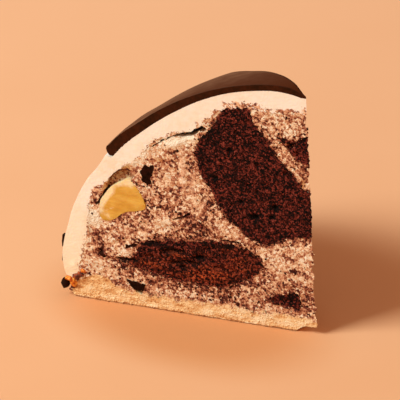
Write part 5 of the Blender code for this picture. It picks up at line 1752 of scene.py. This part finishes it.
# %% Make the rim crumbs
CRUMB_COUNT, CRUMB_SEED, CRUMB_MARGIN = 13, 5, 1.2
CRUMB_RADIUS, CRUMB_BAND = (0.9, 2.0), (2.4, 4.2)
CRUMB_BEYOND, CRUMB_LEVEL = 0.5, 1.5  # of its radius: how far out it lies, and how high at least
LUMP_SWELL, LUMP_DIMPLES = (0.6, 1.3), (0.25, 3.1)  # share of the radius, and how many to a radius
NEAR_BITS = (
    (100.0, 4.9, 0.9, 2.1, (1.0, 0.75, 0.95), "dark"), (98.2, 7.5, 0.2, 1.5, (1.2, 0.8, 0.75), "amber"),
    (93.6, 9.9, 0.1, 1.6, (1.2, 0.6, 0.8), "brown"), (95.3, 8.6, 0.2, 1.5, (1.0, 0.6, 0.9), "brown"),
    (96.5, 6.0, 0.1, 1.4, (0.9, 0.7, 1.3), "amber"), (92.2, 11.6, 0.0, 1.0, (1.4, 0.6, 0.8), "amber"),
    (96.9, 4.0, 0.2, 0.9, (1.0, 0.8, 0.8), "brown"), (97.9, 2.7, 0.4, 0.7, (1.2, 0.8, 0.7), "brown"),
)


def lumpy(bm, place, size, seed, squash=(1, 1, 1)):
    """Adds one uneven lump to the mesh."""
    swell, swells = LUMP_SWELL
    dimple, dimples = LUMP_DIMPLES
    for vert in bmesh.ops.create_icosphere(bm, subdivisions=2, radius=1.0)["verts"]:
        share = 1 + swell * noise.noise(vert.co * swells + Vector((seed, 0, 0)))
        share += dimple * noise.noise(vert.co * dimples)
        vert.co = place + Vector((a * b for a, b in zip(vert.co * share * size, squash))) * MM


def rim_crumbs():
    draw = random.Random(CRUMB_SEED)
    step = (SLICE_ANGLE - CRUMB_MARGIN) / CRUMB_COUNT
    dark, light, brown, amber = (bmesh.new() for _ in range(4))
    for i in range(1, CRUMB_COUNT):
        turn = math.radians(HALF_ANGLE - CRUMB_MARGIN - step * (i + draw.uniform(0.0, 0.5)))
        size = draw.uniform(*CRUMB_RADIUS)
        radius = BASE_RADIUS + CRUMB_BEYOND * size
        level = max(draw.uniform(*CRUMB_BAND), CRUMB_LEVEL * size)
        place = Vector((AXIS_X - radius * math.cos(turn), -radius * math.sin(turn), level))
        lumpy(dark if i % 3 == 0 else light, place * MM, size, i)
    heaps = {"dark": dark, "brown": brown, "amber": amber}
    for seed, (u, v, below, size, squash, kind) in enumerate(NEAR_BITS):
        lumpy(heaps[kind], FACES[NEAR] @ Vector((u, v, -below)), size, seed + 0.5, squash)
    names = ("chocolate_bits", "toasted_crumbs", "browned_crumbs", "sugar_crumbs")
    return [bmesh_object(name, bm) for name, bm in zip(names, (dark, light, brown, amber))]


chocolate_bits, toasted_crumbs, browned_crumbs, sugar_crumbs = rim_crumbs()
print("rim crumbs:", len(chocolate_bits.data.polygons) + len(toasted_crumbs.data.polygons), "faces")

# %% [markdown]
# ## Finish the meshes and tie them to the frame
#
# Every piece gets its finish and smooth shading with sharp edges kept, and is tied to the root; the solid
# that it stands for is hidden.

# %% Dress the pieces
SHARP_ANGLE = 50


def dress(obj, coat):
    obj.data.materials.clear()
    obj.data.materials.append(coat)
    obj.data.shade_smooth()
    obj.data.set_sharp_from_angle(angle=math.radians(SHARP_ANGLE))


dressed = []


def stands_for(obj, slot, *nodes):
    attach(obj, "root")
    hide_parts(*nodes)
    dressed.append(obj.name)


for pair in blocks.values():
    discard(*pair)
discard(*cores.values())

NODES = {
    "chocolate_sponge_large": "sponge_large", "chocolate_sponge_lower": "sponge_lower",
    "chocolate_sponge_at_tip": "sponge_tip_top", "chocolate_sponge_scrap": "sponge_tip_low",
    "chocolate_sponge_far_side": "sponge_far",
    "fruit_piece": "fruit_near", "fruit_piece_far_side": "fruit_far",
    "chocolate_chip_tall": "chip_tall", "chocolate_chip_left": "chip_left",
    "chocolate_chip_near_rim": "chip_rim", "chocolate_chip_on_base": "chip_low",
    "chocolate_chip_far_high": "chip_far_high", "chocolate_chip_far_middle": "chip_far_mid",
    "chocolate_chip_far_low": "chip_far_low",
}
LUMP_COATS = {"sponge": (sponge, "sponge"), "fruit": (fruit, "fruit"), "chip": (chip_finish, "chocolate")}
for name, lump in lumps.items():
    coat, slot = next(LUMP_COATS[kind] for kind in LUMP_COATS if kind in name)
    dress(lump, coat)
    stands_for(lump, slot, NODES[name])
for name, crumbs in sponge_crumbs.items():
    stands_for(crumbs, "sponge", NODES[name])
for name, coat, slot, node in (
    ("cream", cream, "cream", "cream_coat"), ("glaze", glaze_finish, "chocolate", "chocolate_glaze"),
    ("filling", marbled, "filling", "cream_filling"), ("base", pale, "pale_sponge", "sponge_base"),
):
    dress(whole[name], coat)
    stands_for(whole[name], slot, node)
dress(flakes, chip_finish)
dress(chocolate_bits, chip_finish)
for heap, coat in ((toasted_crumbs, toasted), (browned_crumbs, browned), (sugar_crumbs, sugared)):
    dress(heap, coat)
    stands_for(heap, "pale_sponge", "sponge_base")
stands_for(flakes, "chocolate", "cream_coat")
stands_for(chocolate_bits, "chocolate", "sponge_base")
stands_for(cocoa_crumbs, "sponge", "cream_filling")
stands_for(cream_curds, "filling", "cream_filling")
stands_for(base_crumbs, "pale_sponge", "sponge_base")
print("dressed", len(dressed), "pieces")

# %% [markdown]
# ## The table and the light
#
# The slice stands on plain warm paper. Its colour is painted a shade deeper towards the camera, as
# painted falloff of the light, and close to the slice, as a painted shadow. A large soft key light
# stands to the upper left, a weak broad one fills from the front, and the world gives the rest.

# %% Lay the table
TABLE_SIZE = 4.0
TOWARDS_CAMERA = (0.5, -0.9, 0.0)
FALLOFF_REACH = 300.0
# Painted shade: the paper's colour darkens towards the camera, where the light falls off.
PAINTED_FALLOFF_FAR, PAINTED_FALLOFF_NEAR = srgb(243, 201, 164), srgb(229, 177, 132)
PAPER_MOTTLE, MOTTLE_SIZE = 0.1, 60.0
# A painted shadow: the paper is darker round the slice.
PAINTED_SHADOW_MIDDLE, PAINTED_SHADOW_REACH = 50.0, (84.0, 50.0)
PAINTED_SHADOW_FADE, PAINTED_SHADOW_TONE = (0.4, 0.9), srgb(236, 213, 186)


def lay_table():
    bm = bmesh.new()
    bmesh.ops.create_grid(bm, x_segments=1, y_segments=1, size=TABLE_SIZE)
    floor = bmesh_object("table", bm)
    made, tree, shader, place = finish("warm_paper", Roughness=0.9)
    # Painted falloff of the light: the paper is darker towards the camera.
    nearer = put(tree, "ShaderNodeVectorMath", place, TOWARDS_CAMERA, operation="DOT_PRODUCT")
    share = mapped(tree, nearer.outputs["Value"], -FALLOFF_REACH, FALLOFF_REACH, 0.0, 1.0)
    share = sum_of(tree, (1 - PAPER_MOTTLE, share), (PAPER_MOTTLE, grains(tree, place, MOTTLE_SIZE)))
    tone = ramp(tree, share, (0.0, PAINTED_FALLOFF_FAR), (1.0, PAINTED_FALLOFF_NEAR))
    # A painted shadow: the paper is darker round the slice.
    middle = FACES[NEAR] @ Vector((PAINTED_SHADOW_MIDDLE, 0.0, 0.0)) / MM
    along, across = PAINTED_SHADOW_REACH
    beside = stretched(tree, shifted(tree, place, *(-middle)), 1 / along, 1 / across, 0.0)
    away = put(tree, "ShaderNodeVectorMath", beside, operation="LENGTH").outputs["Value"]
    painted_shadow = mapped(tree, away, *PAINTED_SHADOW_FADE, 1.0, 0.0, interpolation_type="SMOOTHSTEP")
    tone = mixed(tree, painted_shadow, tone, PAINTED_SHADOW_TONE, "MULTIPLY")
    tree.links.new(tone, shader.inputs["Base Color"])
    floor.data.materials.append(made)
    print("table:", measures(floor))


lay_table()

# %% Hang the lights
WORLD_COLOUR, WORLD_STRENGTH = (1.0, 0.53, 0.32, 1.0), 0.42


def soft_light(name, direction, distance, size, watts, colour):
    data = bpy.data.lights.new(name, "AREA")
    data.size = size
    data.energy = watts
    data.color = colour
    lamp = bpy.data.objects.new(name, data)
    bpy.context.scene.collection.objects.link(lamp)
    way = Vector(direction).normalized()
    lamp.location = AIM + way * distance
    lamp.rotation_euler = way.to_track_quat("Z", "Y").to_euler()
    print(name, "gives", watts, "watts from", [round(c, 2) for c in lamp.location])


soft_light("key_light", (-0.54, -0.86, 1.05), distance=2.2, size=0.95, watts=45.5, colour=(1.0, 0.98, 0.86))
soft_light("fill_light", (0.9, -0.6, 0.5), distance=1.6, size=1.6, watts=2.0, colour=(1.0, 0.66, 0.44))
world = bpy.data.worlds.new("studio")
world.use_nodes = True
sky = world.node_tree.nodes["Background"]
sky.inputs["Color"].default_value = WORLD_COLOUR
sky.inputs["Strength"].default_value = WORLD_STRENGTH
bpy.context.scene.world = world
